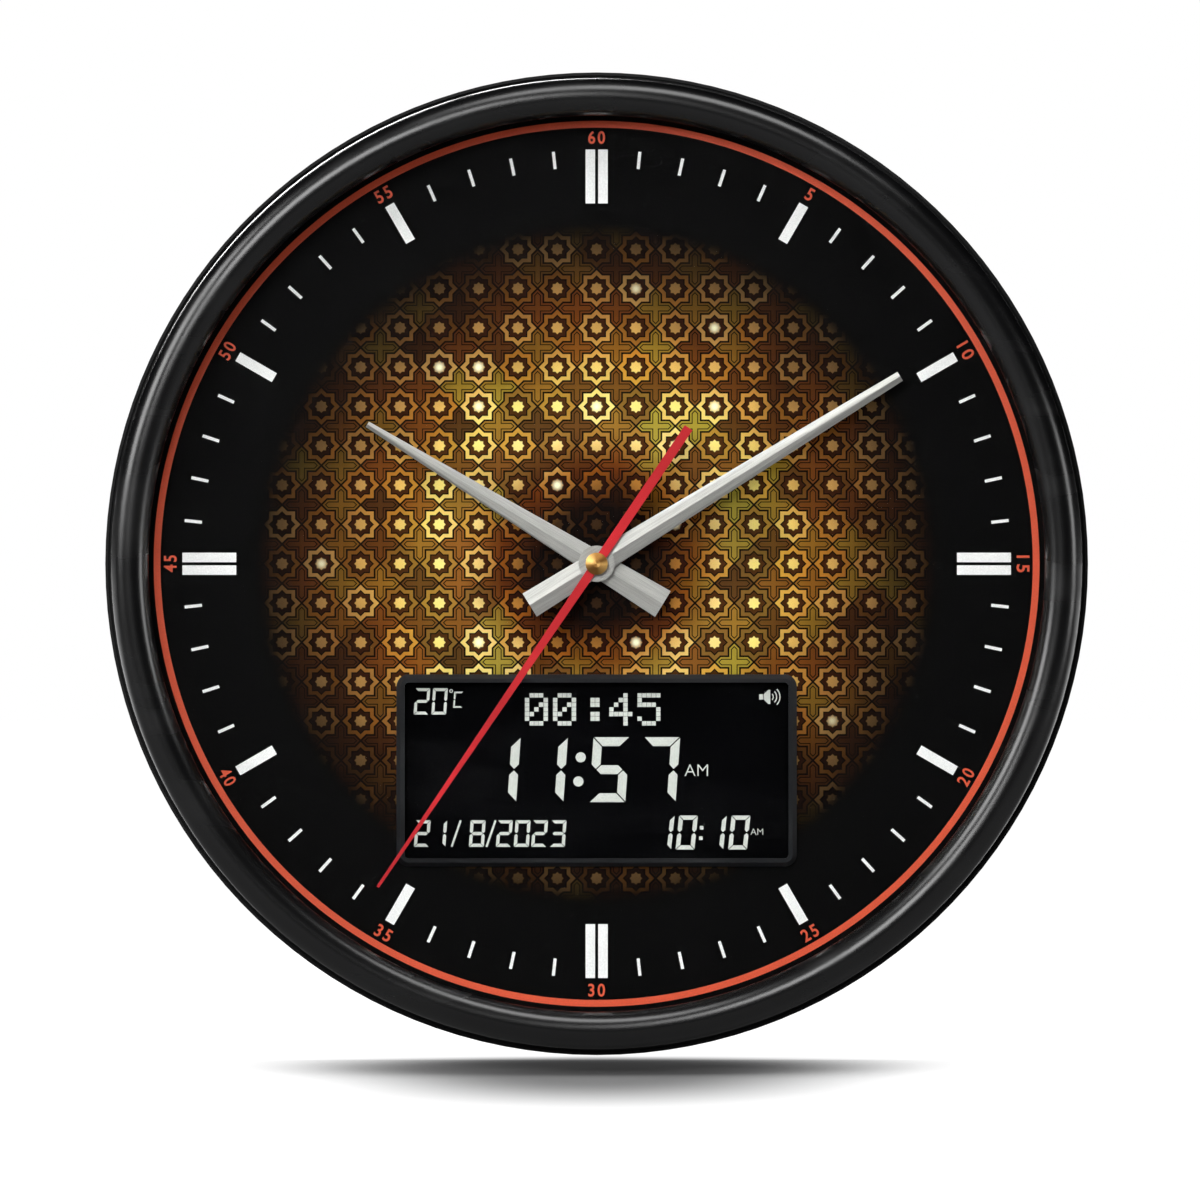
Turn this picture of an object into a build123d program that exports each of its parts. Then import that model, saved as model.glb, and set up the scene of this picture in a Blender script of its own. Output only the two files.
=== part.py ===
from build123d import *
from math import acos, cos, pi, radians, sin, tan
import os

# Round wall clock: a quartz movement with three hands over a printed dial, a digital display
# with its circuit board and speaker behind the dial, and batteries and buttons at the back.
# Millimetres. The hands turn about the Y axis. The wall is the plane y = 0 and the clock stands
# out from it towards -Y, with +X to the viewer's right and +Z up. A "depth" is a distance out
# from the wall, so a piece at depth d lies at y = -d.

# ---------------------------------------------------------------- fits
SLIP = 0.1  # side gap of a piece that drops into its seat
RUNNING = 0.05  # radial gap of a shaft in its hole
BUTTON_GAP = 0.25  # radial gap round a push button
END_PLAY = 0.1  # lengthways gap of a moving piece at its stop
SCREW_HOLE_GAP = 0.2  # radial gap of a screw in the sheet it clamps

# ---------------------------------------------------------------- case
CASE_RADIUS = 175.0  # flange of the rear housing
FLANGE_THICKNESS = 2.5
LIP_WIDTH = 1.0  # raised edge of the flange
LIP_HEIGHT = 1.5
BEZEL_GROOVE = 1.4  # dark groove between that edge and the bezel
BEZEL_WIDTH = 13.3  # across the half-round
BEZEL_WALL = 2.2
BEZEL_OVERLAP = 1.7  # how far the bezel reaches in over the housing's wall
HOUSING_WALL = 2.4
BACK_RECESS = 12.0  # the back panel stands this far off the wall
PANEL_THICKNESS = 2.5
INTERIOR_DEPTH = 17.5  # back panel to dial
DIAL_THICKNESS = 1.0
DIAL_ABOVE_FLANGE = 2.0
LEDGE_WIDTH = 5.5
LEDGE_THICKNESS = 2.5
HAND_SPACE = 11.5  # dial to lens
LENS_THICKNESS = 2.0

# ---------------------------------------------------------------- screws
HOUSING_SCREW_COUNT = 8
HOUSING_SCREW_LENGTH = 10.0
HOUSING_SCREW_RADIUS = 1.4
HOUSING_SCREW_HEAD_RADIUS = 2.7
HOUSING_SCREW_HEAD_HEIGHT = 2.0
HOUSING_BOSS_RADIUS = 3.0
INNER_SCREW_RADIUS = 1.2
INNER_SCREW_LENGTH = 4.0
INNER_SCREW_HEAD_RADIUS = 2.4
INNER_SCREW_HEAD_HEIGHT = 1.6
INNER_BOSS_RADIUS = 3.0
SCREW_SLOT_WIDTH = 0.7
SCREW_SLOT_DEPTH = 0.8
SCREW_SLOT_LENGTH = 1.4  # in head radii
PILOT_SPARE = 0.5  # a pilot hole is this much deeper than its screw

# ---------------------------------------------------------------- movement
MOVEMENT_SIZE = 56.0  # square body
MOVEMENT_PLATE_THICKNESS = 0.3  # each contact plate of its battery bay
MOVEMENT_DEPTH = 16.0
MOVEMENT_CORNER = 3.0
MOVEMENT_WALL = 1.2
MOVEMENT_SHAFT_HEIGHT = 27.0  # body's lower edge up to the shaft
FRONT_SHELL_DEPTH = 3.5
WASHER_THICKNESS = 1.0
WASHER_RADIUS = 9.0
BUSH_RADIUS = 4.0
NUT_THICKNESS = 2.0
NUT_ACROSS_FLATS = 11.0
BUSH_BEYOND_NUT = 0.2
ACCESS_MARGIN = 2.0  # the back panel's opening round the movement
BRIDGE_THICKNESS = 1.0
BRIDGE_BACK = 7.9  # from the movement's back face
BRIDGE_CORNER = 2.0
BRIDGE_LEFT = -13.0
BRIDGE_RIGHT = 20.0
BRIDGE_LOWER = -9.0
BRIDGE_UPPER = 17.5
BRIDGE_SLOPE = 5.0  # the upper corners are cut off by this, up and across
BRIDGE_POST_INSET = 2.0  # post's middle to the bridge's edge
POST_RADIUS = 1.2
PIVOT_RADIUS = 0.4
PIVOT_BITE = 0.5  # how far a pivot runs into its plate
THIRD_SLEEVE_RADIUS = 0.8
HOUR_PIPE_WALL = 0.75
MINUTE_PIPE_WALL = 1.2
SECOND_ARBOR_RADIUS = 0.5
WHEEL_THICKNESS = 0.8
PINION_OVERHANG = 0.25  # a pinion is this much longer each side than the wheel it drives

# ---------------------------------------------------------------- gear train
PRESSURE_ANGLE = 20.0
TOOTH_SHARE = 0.42  # tooth thickness as a share of the half pitch
PINION_ADDENDUM = 0.9  # in modules
WHEEL_ADDENDUM = 0.7
DEDENDUM = 1.25
FLANK_STEPS = 2
ROTOR_TEETH = 6
INTERMEDIATE_TEETH = 30
INTERMEDIATE_PINION_TEETH = 10
SECOND_TEETH = 60
SECOND_PINION_TEETH = 8
THIRD_TEETH = 60
THIRD_PINION_TEETH = 8
CENTRE_TEETH = 64
CANNON_TEETH = 12
MINUTE_WHEEL_TEETH = 36
MINUTE_PINION_TEETH = 10
HOUR_TEETH = 40
KNOB_TEETH = 12
ROTOR_DISTANCE = 6.48  # rotor to intermediate wheel
INTERMEDIATE_DISTANCE = 8.75  # intermediate wheel to shaft
THIRD_DISTANCE = 10.2  # third wheel to shaft
MINUTE_WHEEL_DISTANCE = 9.6  # minute wheel to shaft
INTERMEDIATE_BEARING = 110.0  # degrees, counter-clockwise from +X as the viewer sees it
ROTOR_BEARING = 100.0
THIRD_BEARING = 20.0
MINUTE_WHEEL_BEARING = 160.0
KNOB_BEARING = 135.0
# how far each wheel's back face lies from the movement's back face
INTERMEDIATE_BACK = 3.2
SECOND_BACK = 4.6
THIRD_BACK = 6.4
CENTRE_BACK = 9.4
MINUTE_WHEEL_BACK = 11.2
HOUR_BACK = 13.4
MINUTE_POST_RADIUS = 0.8
MINUTE_WHEEL_HUB_WALL = 0.45
KNOB_ARBOR_RADIUS = 1.2
KNOB_RADIUS = 5.0
KNOB_HEIGHT = 5.8
KNOB_FLUTES = 12
KNOB_FLUTE_RADIUS = 0.7

# ---------------------------------------------------------------- step motor
MAGNET_RADIUS = 2.9
MAGNET_THICKNESS = 2.0
MAGNET_BACK = 4.4
STATOR_THICKNESS = 1.0
STATOR_BACK = 4.8
STATOR_BORE_GAP = 0.4
STATOR_LOBE = 1.1  # metal round the rotor's bore
STATOR_HALF_LENGTH = 17.0
STATOR_BAR_LOW = 13.5
STATOR_BAR_HIGH = 18.4
STATOR_LEG_WIDTH = 4.2
CORE_THICKNESS = 0.8
CORE_WIDTH = 2.6
COIL_HEIGHT = 22.6  # coil's axis above the shaft
COIL_HALF_LENGTH = 11.5
COIL_RADIUS = 3.4
COIL_FLANGE_RADIUS = 3.9
COIL_FLANGE_THICKNESS = 1.0
COIL_TUBE_RADIUS = 1.9
MOTOR_PIN_RADIUS = 0.7
BOARD_THICKNESS = 1.6
TIMER_BOARD_THICKNESS = 0.8
TIMER_BOARD_WIDTH = 6.4
TIMER_BOARD_HEIGHT = 28.0
TIMER_BOARD_BACK = 5.8
TIMER_BOARD_X = 23.0
TIMER_BOARD_Z = 6.0
CRYSTAL_RADIUS = 1.0
CRYSTAL_LENGTH = 6.0

# ---------------------------------------------------------------- hands
HOUR_ANGLE = 301.3  # degrees clockwise from twelve
MINUTE_ANGLE = 58.3
SECOND_ANGLE = 214.1
HAND_EDGE = 0.4  # sheet thickness at the edge of a hand
HAND_RIDGE = 1.0  # and at its ridge
HOUR_HAND_BACK = 3.9  # above the dial
HAND_STEP = 1.8  # from one hand's back to the next
HOUR_HAND_LENGTH = 95.5
HOUR_HAND_TAIL = 27.6
HOUR_HAND_TIP_WIDTH = 2.2
HOUR_HAND_TAIL_WIDTH = 10.7
MINUTE_HAND_LENGTH = 126.9
MINUTE_HAND_TAIL = 28.0
MINUTE_HAND_TIP_WIDTH = 3.7
MINUTE_HAND_TAIL_WIDTH = 9.6
MINUTE_HUB_RADIUS = 6.45
HOUR_HUB_RADIUS = 5.6
SECOND_HAND_LENGTH = 138.9
SECOND_HAND_TAIL = 58.4
SECOND_HAND_TIP_WIDTH = 1.0
SECOND_HAND_TAIL_WIDTH = 3.3
SECOND_HAND_THICKNESS = 0.5
SECOND_HUB_RADIUS = 3.4
CAP_RADIUS = 3.95
CAP_HEIGHT = 2.1
CAP_RIM = 0.5
CAP_TOP_RADIUS = 1.3
ARBOR_IN_CAP = 1.2

# ---------------------------------------------------------------- display
DISPLAY_DROP = 73.6  # display's middle below the shaft
TRIM_WIDTH = 142.5
TRIM_HEIGHT = 68.4
TRIM_CORNER = 4.3
TRIM_RISE = 2.6  # above the dial
TRIM_BEVEL = 1.5
TRIM_BORDER = 2.9  # trim's outer edge to the window
WINDOW_CORNER = 1.5
TRIM_SKIRT_WALL = 1.0
TRIM_SKIRT_DEPTH = 2.2  # behind the dial's face
WINDOW_LEDGE = 0.4  # trim's lip over the window's edge
WINDOW_THICKNESS = 1.5
TRIM_LIP_THICKNESS = 1.8
GLASS_THICKNESS = 2.8
GLASS_STEP = 2.6  # the back sheet of the glass is narrower by this at the contact edges
LIGHT_PANEL_THICKNESS = 3.0
CONNECTOR_WIDTH = 2.0
CONNECTOR_INSET = 0.4
MAIN_BOARD_WIDTH = 160.0
MAIN_BOARD_HEIGHT = 76.0
BOARD_CORNER = 2.0
BOARD_HOLE_INSET = 4.0
SENSOR_WIDTH = 4.0
SENSOR_HEIGHT = 5.0
SENSOR_INSET = 8.0
SENSOR_FLAT = 1.0  # its flat side to its axis
CHIPS = (  # x, z from the display's middle, width, height, thickness
    (-28.0, 6.0, 18.0, 18.0, 2.4),
    (12.0, 8.0, 12.0, 9.0, 1.8),
    (42.0, -8.0, 8.0, 10.0, 1.8),
)
CAPACITOR_RADIUS = 3.2
CAPACITOR_HEIGHT = 7.0
CAPACITORS = ((30.0, 20.0), (56.0, 18.0), (58.0, -16.0))  # x, z from the display's middle

# ---------------------------------------------------------------- speaker
SPEAKER_DROP = 46.0  # below the hanger plate's middle
SPEAKER_RADIUS = 28.5
SPEAKER_EARS = 4
SPEAKER_EAR_CIRCLE = 32.0
SPEAKER_EAR_RADIUS = 3.6
SPEAKER_SEAT = 1.0
SPEAKER_FLANGE = 1.0
SPEAKER_BASKET_DEPTH = 8.5
SPEAKER_BASKET_WALL = 1.0
SPEAKER_WINDOWS = 6
SPEAKER_WINDOW_RADIUS = 3.8
CONE_EDGE = 25.0
CONE_THROAT = 8.0
CONE_DEPTH = 5.0
CONE_THICKNESS = 0.5
CONE_RIM = 2.0  # flat, glued to the flange
MAGNET_CAN_RADIUS = 14.5
MAGNET_CAN_DEPTH = 6.0
GRILLE_HOLE_RADIUS = 1.5
GRILLE_RING_STEP = 5.0
GRILLE_RINGS = 4
GRILLE_RING_HOLES = 6  # in the first ring, and as many more in each ring after it

# ---------------------------------------------------------------- buttons
BUTTON_COUNT = 6
BUTTON_PITCH = 15.0
BUTTON_ROW_TO_WALL = 26.0  # from the housing's wall
BUTTON_RADIUS = 4.0
BUTTON_PROUD = 2.5
BUTTON_FLANGE = 1.0  # thickness and overhang of the collar inside the panel
BUTTON_EDGE = 0.6
DOME_HEIGHT = 2.0
DOME_BASE_RADIUS = 3.6
DOME_TOP_RADIUS = 2.2
MAT_THICKNESS = 0.8
MAT_MARGIN = 1.4
KEY_BOARD_MARGIN = 12.5
KEY_BOARD_HEIGHT = 16.0

# ---------------------------------------------------------------- batteries
CELL_RADIUS = 7.25
CELL_LENGTH = 50.5
CELL_NUB_RADIUS = 2.75
CELL_NUB_LENGTH = 1.0
CELL_GAP = 0.4
CONTACT_THICKNESS = 0.5
CONTACT_MARGIN = 1.6  # a contact plate is this much narrower than its battery on each side
SPRING_WIRE_RADIUS = 0.35
SPRING_RADIUS = 3.4
SPRING_TURNS = 4
SPRING_PITCH = 0.6
POCKET_WALL = 1.5
POCKET_Z = 11.0
DOOR_THICKNESS = 1.5
DOOR_OVERLAP = 2.0
DOOR_TONGUE = 1.2
RAIL_WALL = 1.5
RAIL_ROOF = 1.0
DOOR_GRIP_COUNT = 5
DOOR_GRIP_PITCH = 3.0
DOOR_GRIP_WIDTH = 1.2
DOOR_GRIP_DEPTH = 0.5

# ---------------------------------------------------------------- hanger
HANGER_WIDTH = 44.0
HANGER_HEIGHT = 30.0
HANGER_THICKNESS = 1.2
HANGER_CORNER = 3.0
HANGER_TO_WALL = 23.0  # plate's middle to the housing's wall
HANGER_SCREW_OFFSET = 17.0
KEYHOLE_RADIUS = 5.0
KEYHOLE_SLOT_RADIUS = 2.3
KEYHOLE_DROP = 5.0  # the round part's middle below the plate's
KEYHOLE_RUN = 10.0  # round part's middle to the slot's end centre
HEAD_ROOM_WIDTH = 19.0
HEAD_ROOM_HEIGHT = 26.0
HANGER_BOSS_HEIGHT = 3.0

# ---------------------------------------------------------------- leads
LEAD_RADIUS = 0.7
LEAD_BEND = 2.5
LEAD_PITCH = 2.4
LEAD_ABOVE_PANEL = 5.5
LEAD_LANDING = 5.0  # from the main board's upper edge
BATTERY_LEAD_OFFSET = 9.0  # from the battery pocket's middle to between its two leads
SPEAKER_LEAD_X = -45.0

# ---------------------------------------------------------------- depths worked out from the wall
PANEL_BACK = BACK_RECESS
PANEL_FACE = PANEL_BACK + PANEL_THICKNESS
DIAL_BACK = PANEL_FACE + INTERIOR_DEPTH
DIAL_FACE = DIAL_BACK + DIAL_THICKNESS
LENS_BACK = DIAL_FACE + HAND_SPACE
LENS_FACE = LENS_BACK + LENS_THICKNESS
FLANGE_FACE = DIAL_BACK - DIAL_ABOVE_FLANGE
FLANGE_BACK = FLANGE_FACE - FLANGE_THICKNESS
MOVEMENT_FACE = DIAL_BACK - WASHER_THICKNESS
MOVEMENT_BACK = MOVEMENT_FACE - MOVEMENT_DEPTH
MOVEMENT_SEAM = MOVEMENT_FACE - FRONT_SHELL_DEPTH
MOVEMENT_FLOOR = MOVEMENT_BACK + MOVEMENT_WALL
MOVEMENT_CEILING = MOVEMENT_FACE - MOVEMENT_WALL
BRIDGE_LOW = MOVEMENT_BACK + BRIDGE_BACK
BRIDGE_HIGH = BRIDGE_LOW + BRIDGE_THICKNESS
HOUR_HAND_LOW = DIAL_FACE + HOUR_HAND_BACK
MINUTE_HAND_LOW = HOUR_HAND_LOW + HAND_STEP
SECOND_HAND_LOW = MINUTE_HAND_LOW + HAND_STEP
SECOND_HAND_HIGH = SECOND_HAND_LOW + SECOND_HAND_THICKNESS
TRIM_FACE = DIAL_FACE + TRIM_RISE
WINDOW_FACE = TRIM_FACE - TRIM_LIP_THICKNESS
WINDOW_BACK = WINDOW_FACE - WINDOW_THICKNESS
GLASS_BACK = WINDOW_BACK - GLASS_THICKNESS
MAIN_BOARD_FACE = GLASS_BACK - LIGHT_PANEL_THICKNESS
MAIN_BOARD_BACK = MAIN_BOARD_FACE - BOARD_THICKNESS
LEAD_DEPTH = PANEL_FACE + LEAD_ABOVE_PANEL
SPEAKER_SEAT_FACE = PANEL_FACE + SPEAKER_SEAT
SPEAKER_FLANGE_FACE = SPEAKER_SEAT_FACE + SPEAKER_FLANGE
BASKET_FACE = SPEAKER_FLANGE_FACE + SPEAKER_BASKET_DEPTH
BUTTON_FLANGE_BACK = PANEL_FACE + END_PLAY
BUTTON_FACE = BUTTON_FLANGE_BACK + BUTTON_FLANGE
MAT_BACK = BUTTON_FACE + DOME_HEIGHT
KEY_BOARD_BACK = MAT_BACK + MAT_THICKNESS
KEY_BOARD_FACE = KEY_BOARD_BACK + BOARD_THICKNESS

# ---------------------------------------------------------------- radii and places
BEZEL_OUTER = CASE_RADIUS - LIP_WIDTH - BEZEL_GROOVE
BEZEL_INNER = BEZEL_OUTER - BEZEL_WIDTH
BEZEL_MIDDLE = BEZEL_OUTER - BEZEL_WIDTH / 2
WALL_INNER = BEZEL_INNER + BEZEL_OVERLAP
WALL_OUTER = WALL_INNER + HOUSING_WALL
HOUSING_SCREW_CIRCLE = (WALL_OUTER + BEZEL_OUTER - BEZEL_WALL) / 2
SECOND_BORE = SECOND_ARBOR_RADIUS + RUNNING
MINUTE_PIPE_RADIUS = SECOND_BORE + MINUTE_PIPE_WALL
MINUTE_BORE = MINUTE_PIPE_RADIUS + RUNNING
HOUR_PIPE_RADIUS = MINUTE_BORE + HOUR_PIPE_WALL
BUSH_BORE = HOUR_PIPE_RADIUS + RUNNING
MOVEMENT_LOW = -MOVEMENT_SHAFT_HEIGHT
MOVEMENT_MIDDLE = MOVEMENT_LOW + MOVEMENT_SIZE / 2
BAY_LOW = MOVEMENT_LOW + MOVEMENT_WALL
BAY_HIGH = BAY_LOW + 2 * (CELL_RADIUS + CELL_GAP)
BAY_MIDDLE = (BAY_LOW + BAY_HIGH) / 2
DISPLAY_MIDDLE = -DISPLAY_DROP
SKIRT_WIDTH = TRIM_WIDTH - 2 * TRIM_BORDER + 2 * (WINDOW_LEDGE + TRIM_SKIRT_WALL)
SKIRT_HEIGHT = TRIM_HEIGHT - 2 * TRIM_BORDER + 2 * (WINDOW_LEDGE + TRIM_SKIRT_WALL)
SCREEN_WIDTH = SKIRT_WIDTH - 2 * TRIM_SKIRT_WALL - 2 * SLIP
SCREEN_HEIGHT = SKIRT_HEIGHT - 2 * TRIM_SKIRT_WALL - 2 * SLIP
POCKET_WIDTH = 4 * CELL_RADIUS + 3 * CELL_GAP
SPRING_LENGTH = SPRING_TURNS * SPRING_PITCH + 2 * SPRING_WIRE_RADIUS - SPRING_PITCH
POCKET_LENGTH = CELL_LENGTH + SPRING_LENGTH + 2 * CONTACT_THICKNESS
BAY_LENGTH = CELL_LENGTH + SPRING_LENGTH + 2 * MOVEMENT_PLATE_THICKNESS
BAY_START = MOVEMENT_WALL - MOVEMENT_SIZE / 2
BAY_END = BAY_START + BAY_LENGTH
CELL_DEPTH = PANEL_BACK + DOOR_THICKNESS + CELL_RADIUS
POCKET_FLOOR = CELL_DEPTH + CELL_RADIUS + SLIP
DOOR_BACK = PANEL_BACK - DOOR_THICKNESS
DOOR_WIDTH = POCKET_WIDTH + 2 * (POCKET_WALL + DOOR_OVERLAP)
DOOR_LENGTH = POCKET_LENGTH + 2 * (POCKET_WALL + DOOR_OVERLAP)
POCKET_X = MAIN_BOARD_WIDTH / 2 - BOARD_HOLE_INSET
BATTERY_LEAD_X = POCKET_X - BATTERY_LEAD_OFFSET
HANGER_MIDDLE = WALL_INNER - HANGER_TO_WALL
SPEAKER_HEIGHT = HANGER_MIDDLE - SPEAKER_DROP
KEYHOLE_MIDDLE = HANGER_MIDDLE - KEYHOLE_DROP
BUTTON_ROW = BUTTON_ROW_TO_WALL - WALL_INNER
BUTTON_NAMES = ("set", "up", "down", "mode", "volume", "stop")

# ---------------------------------------------------------------- drawing helpers
FRONT = Plane.XZ  # outlines as the viewer sees them, extruded towards the viewer
SECTION = Plane(origin=(0, 0, 0), x_dir=(1, 0, 0), z_dir=(0, 0, -1))  # radius across, depth up
SHAFT = Axis((0, 0, 0), (0, 1, 0))


def sheet(outline, back, face):
    """Extrude a flat outline from one depth to another."""
    return extrude(FRONT.offset(back) * outline, amount=face - back)


def disc(radius, back, face, x=0.0, z=0.0):
    """A round piece along the depth, centred at x, z."""
    return sheet(Pos(x, z) * Circle(radius), back, face)


def ring(inner, outer, back, face, x=0.0, z=0.0):
    """A round piece with a round hole."""
    return sheet(Pos(x, z) * (Circle(outer) - Circle(inner)), back, face)


def block(width, height, back, face, x=0.0, z=0.0):
    """A square-cornered piece centred at x, z."""
    return sheet(Pos(x, z) * Rectangle(width, height), back, face)


def rounded(width, height, corner, back, face, x=0.0, z=0.0):
    """A piece with rounded corners centred at x, z."""
    return sheet(Pos(x, z) * RectangleRounded(width, height, corner), back, face)


def turned(profile, x=0.0, z=0.0):
    """Spin a section of radius and depth about the depth direction at x, z."""
    return Pos(x, 0, z) * revolve(SECTION * profile, SHAFT)


def around(count, radius, start=0.0):
    """Places spread evenly on a circle, as (x, z) pairs."""
    step = 2 * pi / count
    return [(radius * cos(radians(start) + i * step), radius * sin(radians(start) + i * step))
            for i in range(count)]


def polar(x, z, distance, bearing):
    """The place at a distance and bearing from x, z."""
    return x + distance * cos(radians(bearing)), z + distance * sin(radians(bearing))


def group(solids):
    """Separate solids kept together in one file."""
    return Compound(children=[solid for solid in solids])


def pan_screw(x, z, seat, length, radius, head_radius, head_height, towards):
    """A pan-head screw. Its head rests on the seat; towards is 1 if the shank points at the viewer."""
    tip = seat + towards * length
    top = seat - towards * head_height
    screw = disc(radius, min(seat, tip), max(seat, tip), x, z)
    screw += disc(head_radius, min(seat, top), max(seat, top), x, z)
    bottom = top + towards * SCREW_SLOT_DEPTH
    arm = SCREW_SLOT_LENGTH * head_radius
    low, high = min(top, bottom), max(top, bottom)
    screw -= block(arm, SCREW_SLOT_WIDTH, low, high, x, z)
    return screw - block(SCREW_SLOT_WIDTH, arm, low, high, x, z)


def inner_screw(x, z, seat, towards):
    """The small screw used all over the inside."""
    return pan_screw(x, z, seat, INNER_SCREW_LENGTH, INNER_SCREW_RADIUS, INNER_SCREW_HEAD_RADIUS,
                     INNER_SCREW_HEAD_HEIGHT, towards)


# ---------------------------------------------------------------- gears
def involute(radius, base):
    """The involute function at a radius, in radians."""
    if radius <= base:
        return 0.0
    angle = acos(base / radius)
    return tan(angle) - angle


def gear(teeth, module, addendum, phase):
    """A spur gear's outline with a tooth pointing along the phase, in degrees."""
    pitch = module * teeth / 2
    base = pitch * cos(radians(PRESSURE_ANGLE))
    tip = pitch + addendum * module
    root = pitch - DEDENDUM * module
    start = max(base, root)
    half = pi / teeth * TOOTH_SHARE + involute(pitch, base)
    radii = [start + (tip - start) * step / FLANK_STEPS for step in range(FLANK_STEPS + 1)]
    flank = [(radius, half - involute(radius, base)) for radius in radii]
    if root < start:
        flank.insert(0, (root, flank[0][1]))
    points = []
    for tooth in range(teeth):
        middle = radians(phase) + 2 * pi * tooth / teeth
        for side, steps in ((-1, flank), (1, reversed(flank))):
            points += [(r * cos(middle + side * a), r * sin(middle + side * a)) for r, a in steps]
    return Polygon(*points, align=None)


def module_for(distance, teeth, other_teeth):
    """The module that puts two meshing gears at a distance."""
    return 2 * distance / (teeth + other_teeth)


def meshed(phase, teeth, other_teeth, bearing):
    """The phase of a gear whose tooth gap meets its neighbour's tooth, seen at the bearing."""
    return bearing + 180 - (phase - bearing) * teeth / other_teeth + 180 / other_teeth


INTERMEDIATE_AT = polar(0, 0, INTERMEDIATE_DISTANCE, INTERMEDIATE_BEARING)
ROTOR_AT = polar(*INTERMEDIATE_AT, ROTOR_DISTANCE, ROTOR_BEARING)
THIRD_AT = polar(0, 0, THIRD_DISTANCE, THIRD_BEARING)
MINUTE_WHEEL_AT = polar(0, 0, MINUTE_WHEEL_DISTANCE, MINUTE_WHEEL_BEARING)
ROTOR_MODULE = module_for(ROTOR_DISTANCE, ROTOR_TEETH, INTERMEDIATE_TEETH)
INTERMEDIATE_MODULE = module_for(INTERMEDIATE_DISTANCE, INTERMEDIATE_PINION_TEETH, SECOND_TEETH)
THIRD_MODULE = module_for(THIRD_DISTANCE, SECOND_PINION_TEETH, THIRD_TEETH)
CENTRE_MODULE = module_for(THIRD_DISTANCE, THIRD_PINION_TEETH, CENTRE_TEETH)
MINUTE_MODULE = module_for(MINUTE_WHEEL_DISTANCE, CANNON_TEETH, MINUTE_WHEEL_TEETH)
HOUR_MODULE = module_for(MINUTE_WHEEL_DISTANCE, MINUTE_PINION_TEETH, HOUR_TEETH)
KNOB_DISTANCE = MINUTE_MODULE * (KNOB_TEETH + MINUTE_WHEEL_TEETH) / 2
KNOB_AT = polar(*MINUTE_WHEEL_AT, KNOB_DISTANCE, KNOB_BEARING)
INTERMEDIATE_PINION_PHASE = meshed(0, SECOND_TEETH, INTERMEDIATE_PINION_TEETH, INTERMEDIATE_BEARING)
ROTOR_PHASE = meshed(0, INTERMEDIATE_TEETH, ROTOR_TEETH, ROTOR_BEARING)
THIRD_PHASE = meshed(0, SECOND_PINION_TEETH, THIRD_TEETH, THIRD_BEARING)
THIRD_PINION_PHASE = meshed(0, CENTRE_TEETH, THIRD_PINION_TEETH, THIRD_BEARING)
MINUTE_WHEEL_PHASE = meshed(0, CANNON_TEETH, MINUTE_WHEEL_TEETH, MINUTE_WHEEL_BEARING)
HOUR_PHASE = meshed(0, MINUTE_PINION_TEETH, HOUR_TEETH, MINUTE_WHEEL_BEARING + 180)
KNOB_PHASE = meshed(MINUTE_WHEEL_PHASE, MINUTE_WHEEL_TEETH, KNOB_TEETH, KNOB_BEARING)


def wheel_at(place, back, teeth, module, phase=0.0):
    """A thin toothed wheel whose back face lies at a distance from the movement's back face."""
    low = MOVEMENT_BACK + back
    outline = Pos(*place) * gear(teeth, module, WHEEL_ADDENDUM, phase)
    return sheet(outline, low, low + WHEEL_THICKNESS)


def pinion_at(place, wheel_back, teeth, module, phase=0.0):
    """A pinion a little longer than the wheel that it meets."""
    low = MOVEMENT_BACK + wheel_back - PINION_OVERHANG
    outline = Pos(*place) * gear(teeth, module, PINION_ADDENDUM, phase)
    return sheet(outline, low, low + WHEEL_THICKNESS + 2 * PINION_OVERHANG)


def rotor():
    """The step motor's magnet on its arbor, with its pinion."""
    low = MOVEMENT_BACK + MAGNET_BACK
    arbor = disc(PIVOT_RADIUS, MOVEMENT_FLOOR - PIVOT_BITE, BRIDGE_LOW + PIVOT_BITE, *ROTOR_AT)
    pinion = pinion_at(ROTOR_AT, INTERMEDIATE_BACK, ROTOR_TEETH, ROTOR_MODULE, ROTOR_PHASE)
    return arbor + pinion + disc(MAGNET_RADIUS, low, low + MAGNET_THICKNESS, *ROTOR_AT)


def intermediate_wheel():
    """The wheel that slows the rotor down, with its pinion."""
    arbor = disc(PIVOT_RADIUS, MOVEMENT_FLOOR - PIVOT_BITE, BRIDGE_LOW + PIVOT_BITE, *INTERMEDIATE_AT)
    wheel = wheel_at(INTERMEDIATE_AT, INTERMEDIATE_BACK, INTERMEDIATE_TEETH, ROTOR_MODULE)
    pinion = pinion_at(INTERMEDIATE_AT, SECOND_BACK, INTERMEDIATE_PINION_TEETH, INTERMEDIATE_MODULE,
                       INTERMEDIATE_PINION_PHASE)
    return arbor + wheel + pinion


def second_wheel():
    """The wheel that turns once a minute, its pinion, and the long arbor up to the second hand."""
    top = SECOND_HAND_HIGH + ARBOR_IN_CAP
    arbor = disc(SECOND_ARBOR_RADIUS, MOVEMENT_FLOOR - PIVOT_BITE, top)
    wheel = wheel_at((0, 0), SECOND_BACK, SECOND_TEETH, INTERMEDIATE_MODULE)
    return arbor + wheel + pinion_at((0, 0), THIRD_BACK, SECOND_PINION_TEETH, THIRD_MODULE)


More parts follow.
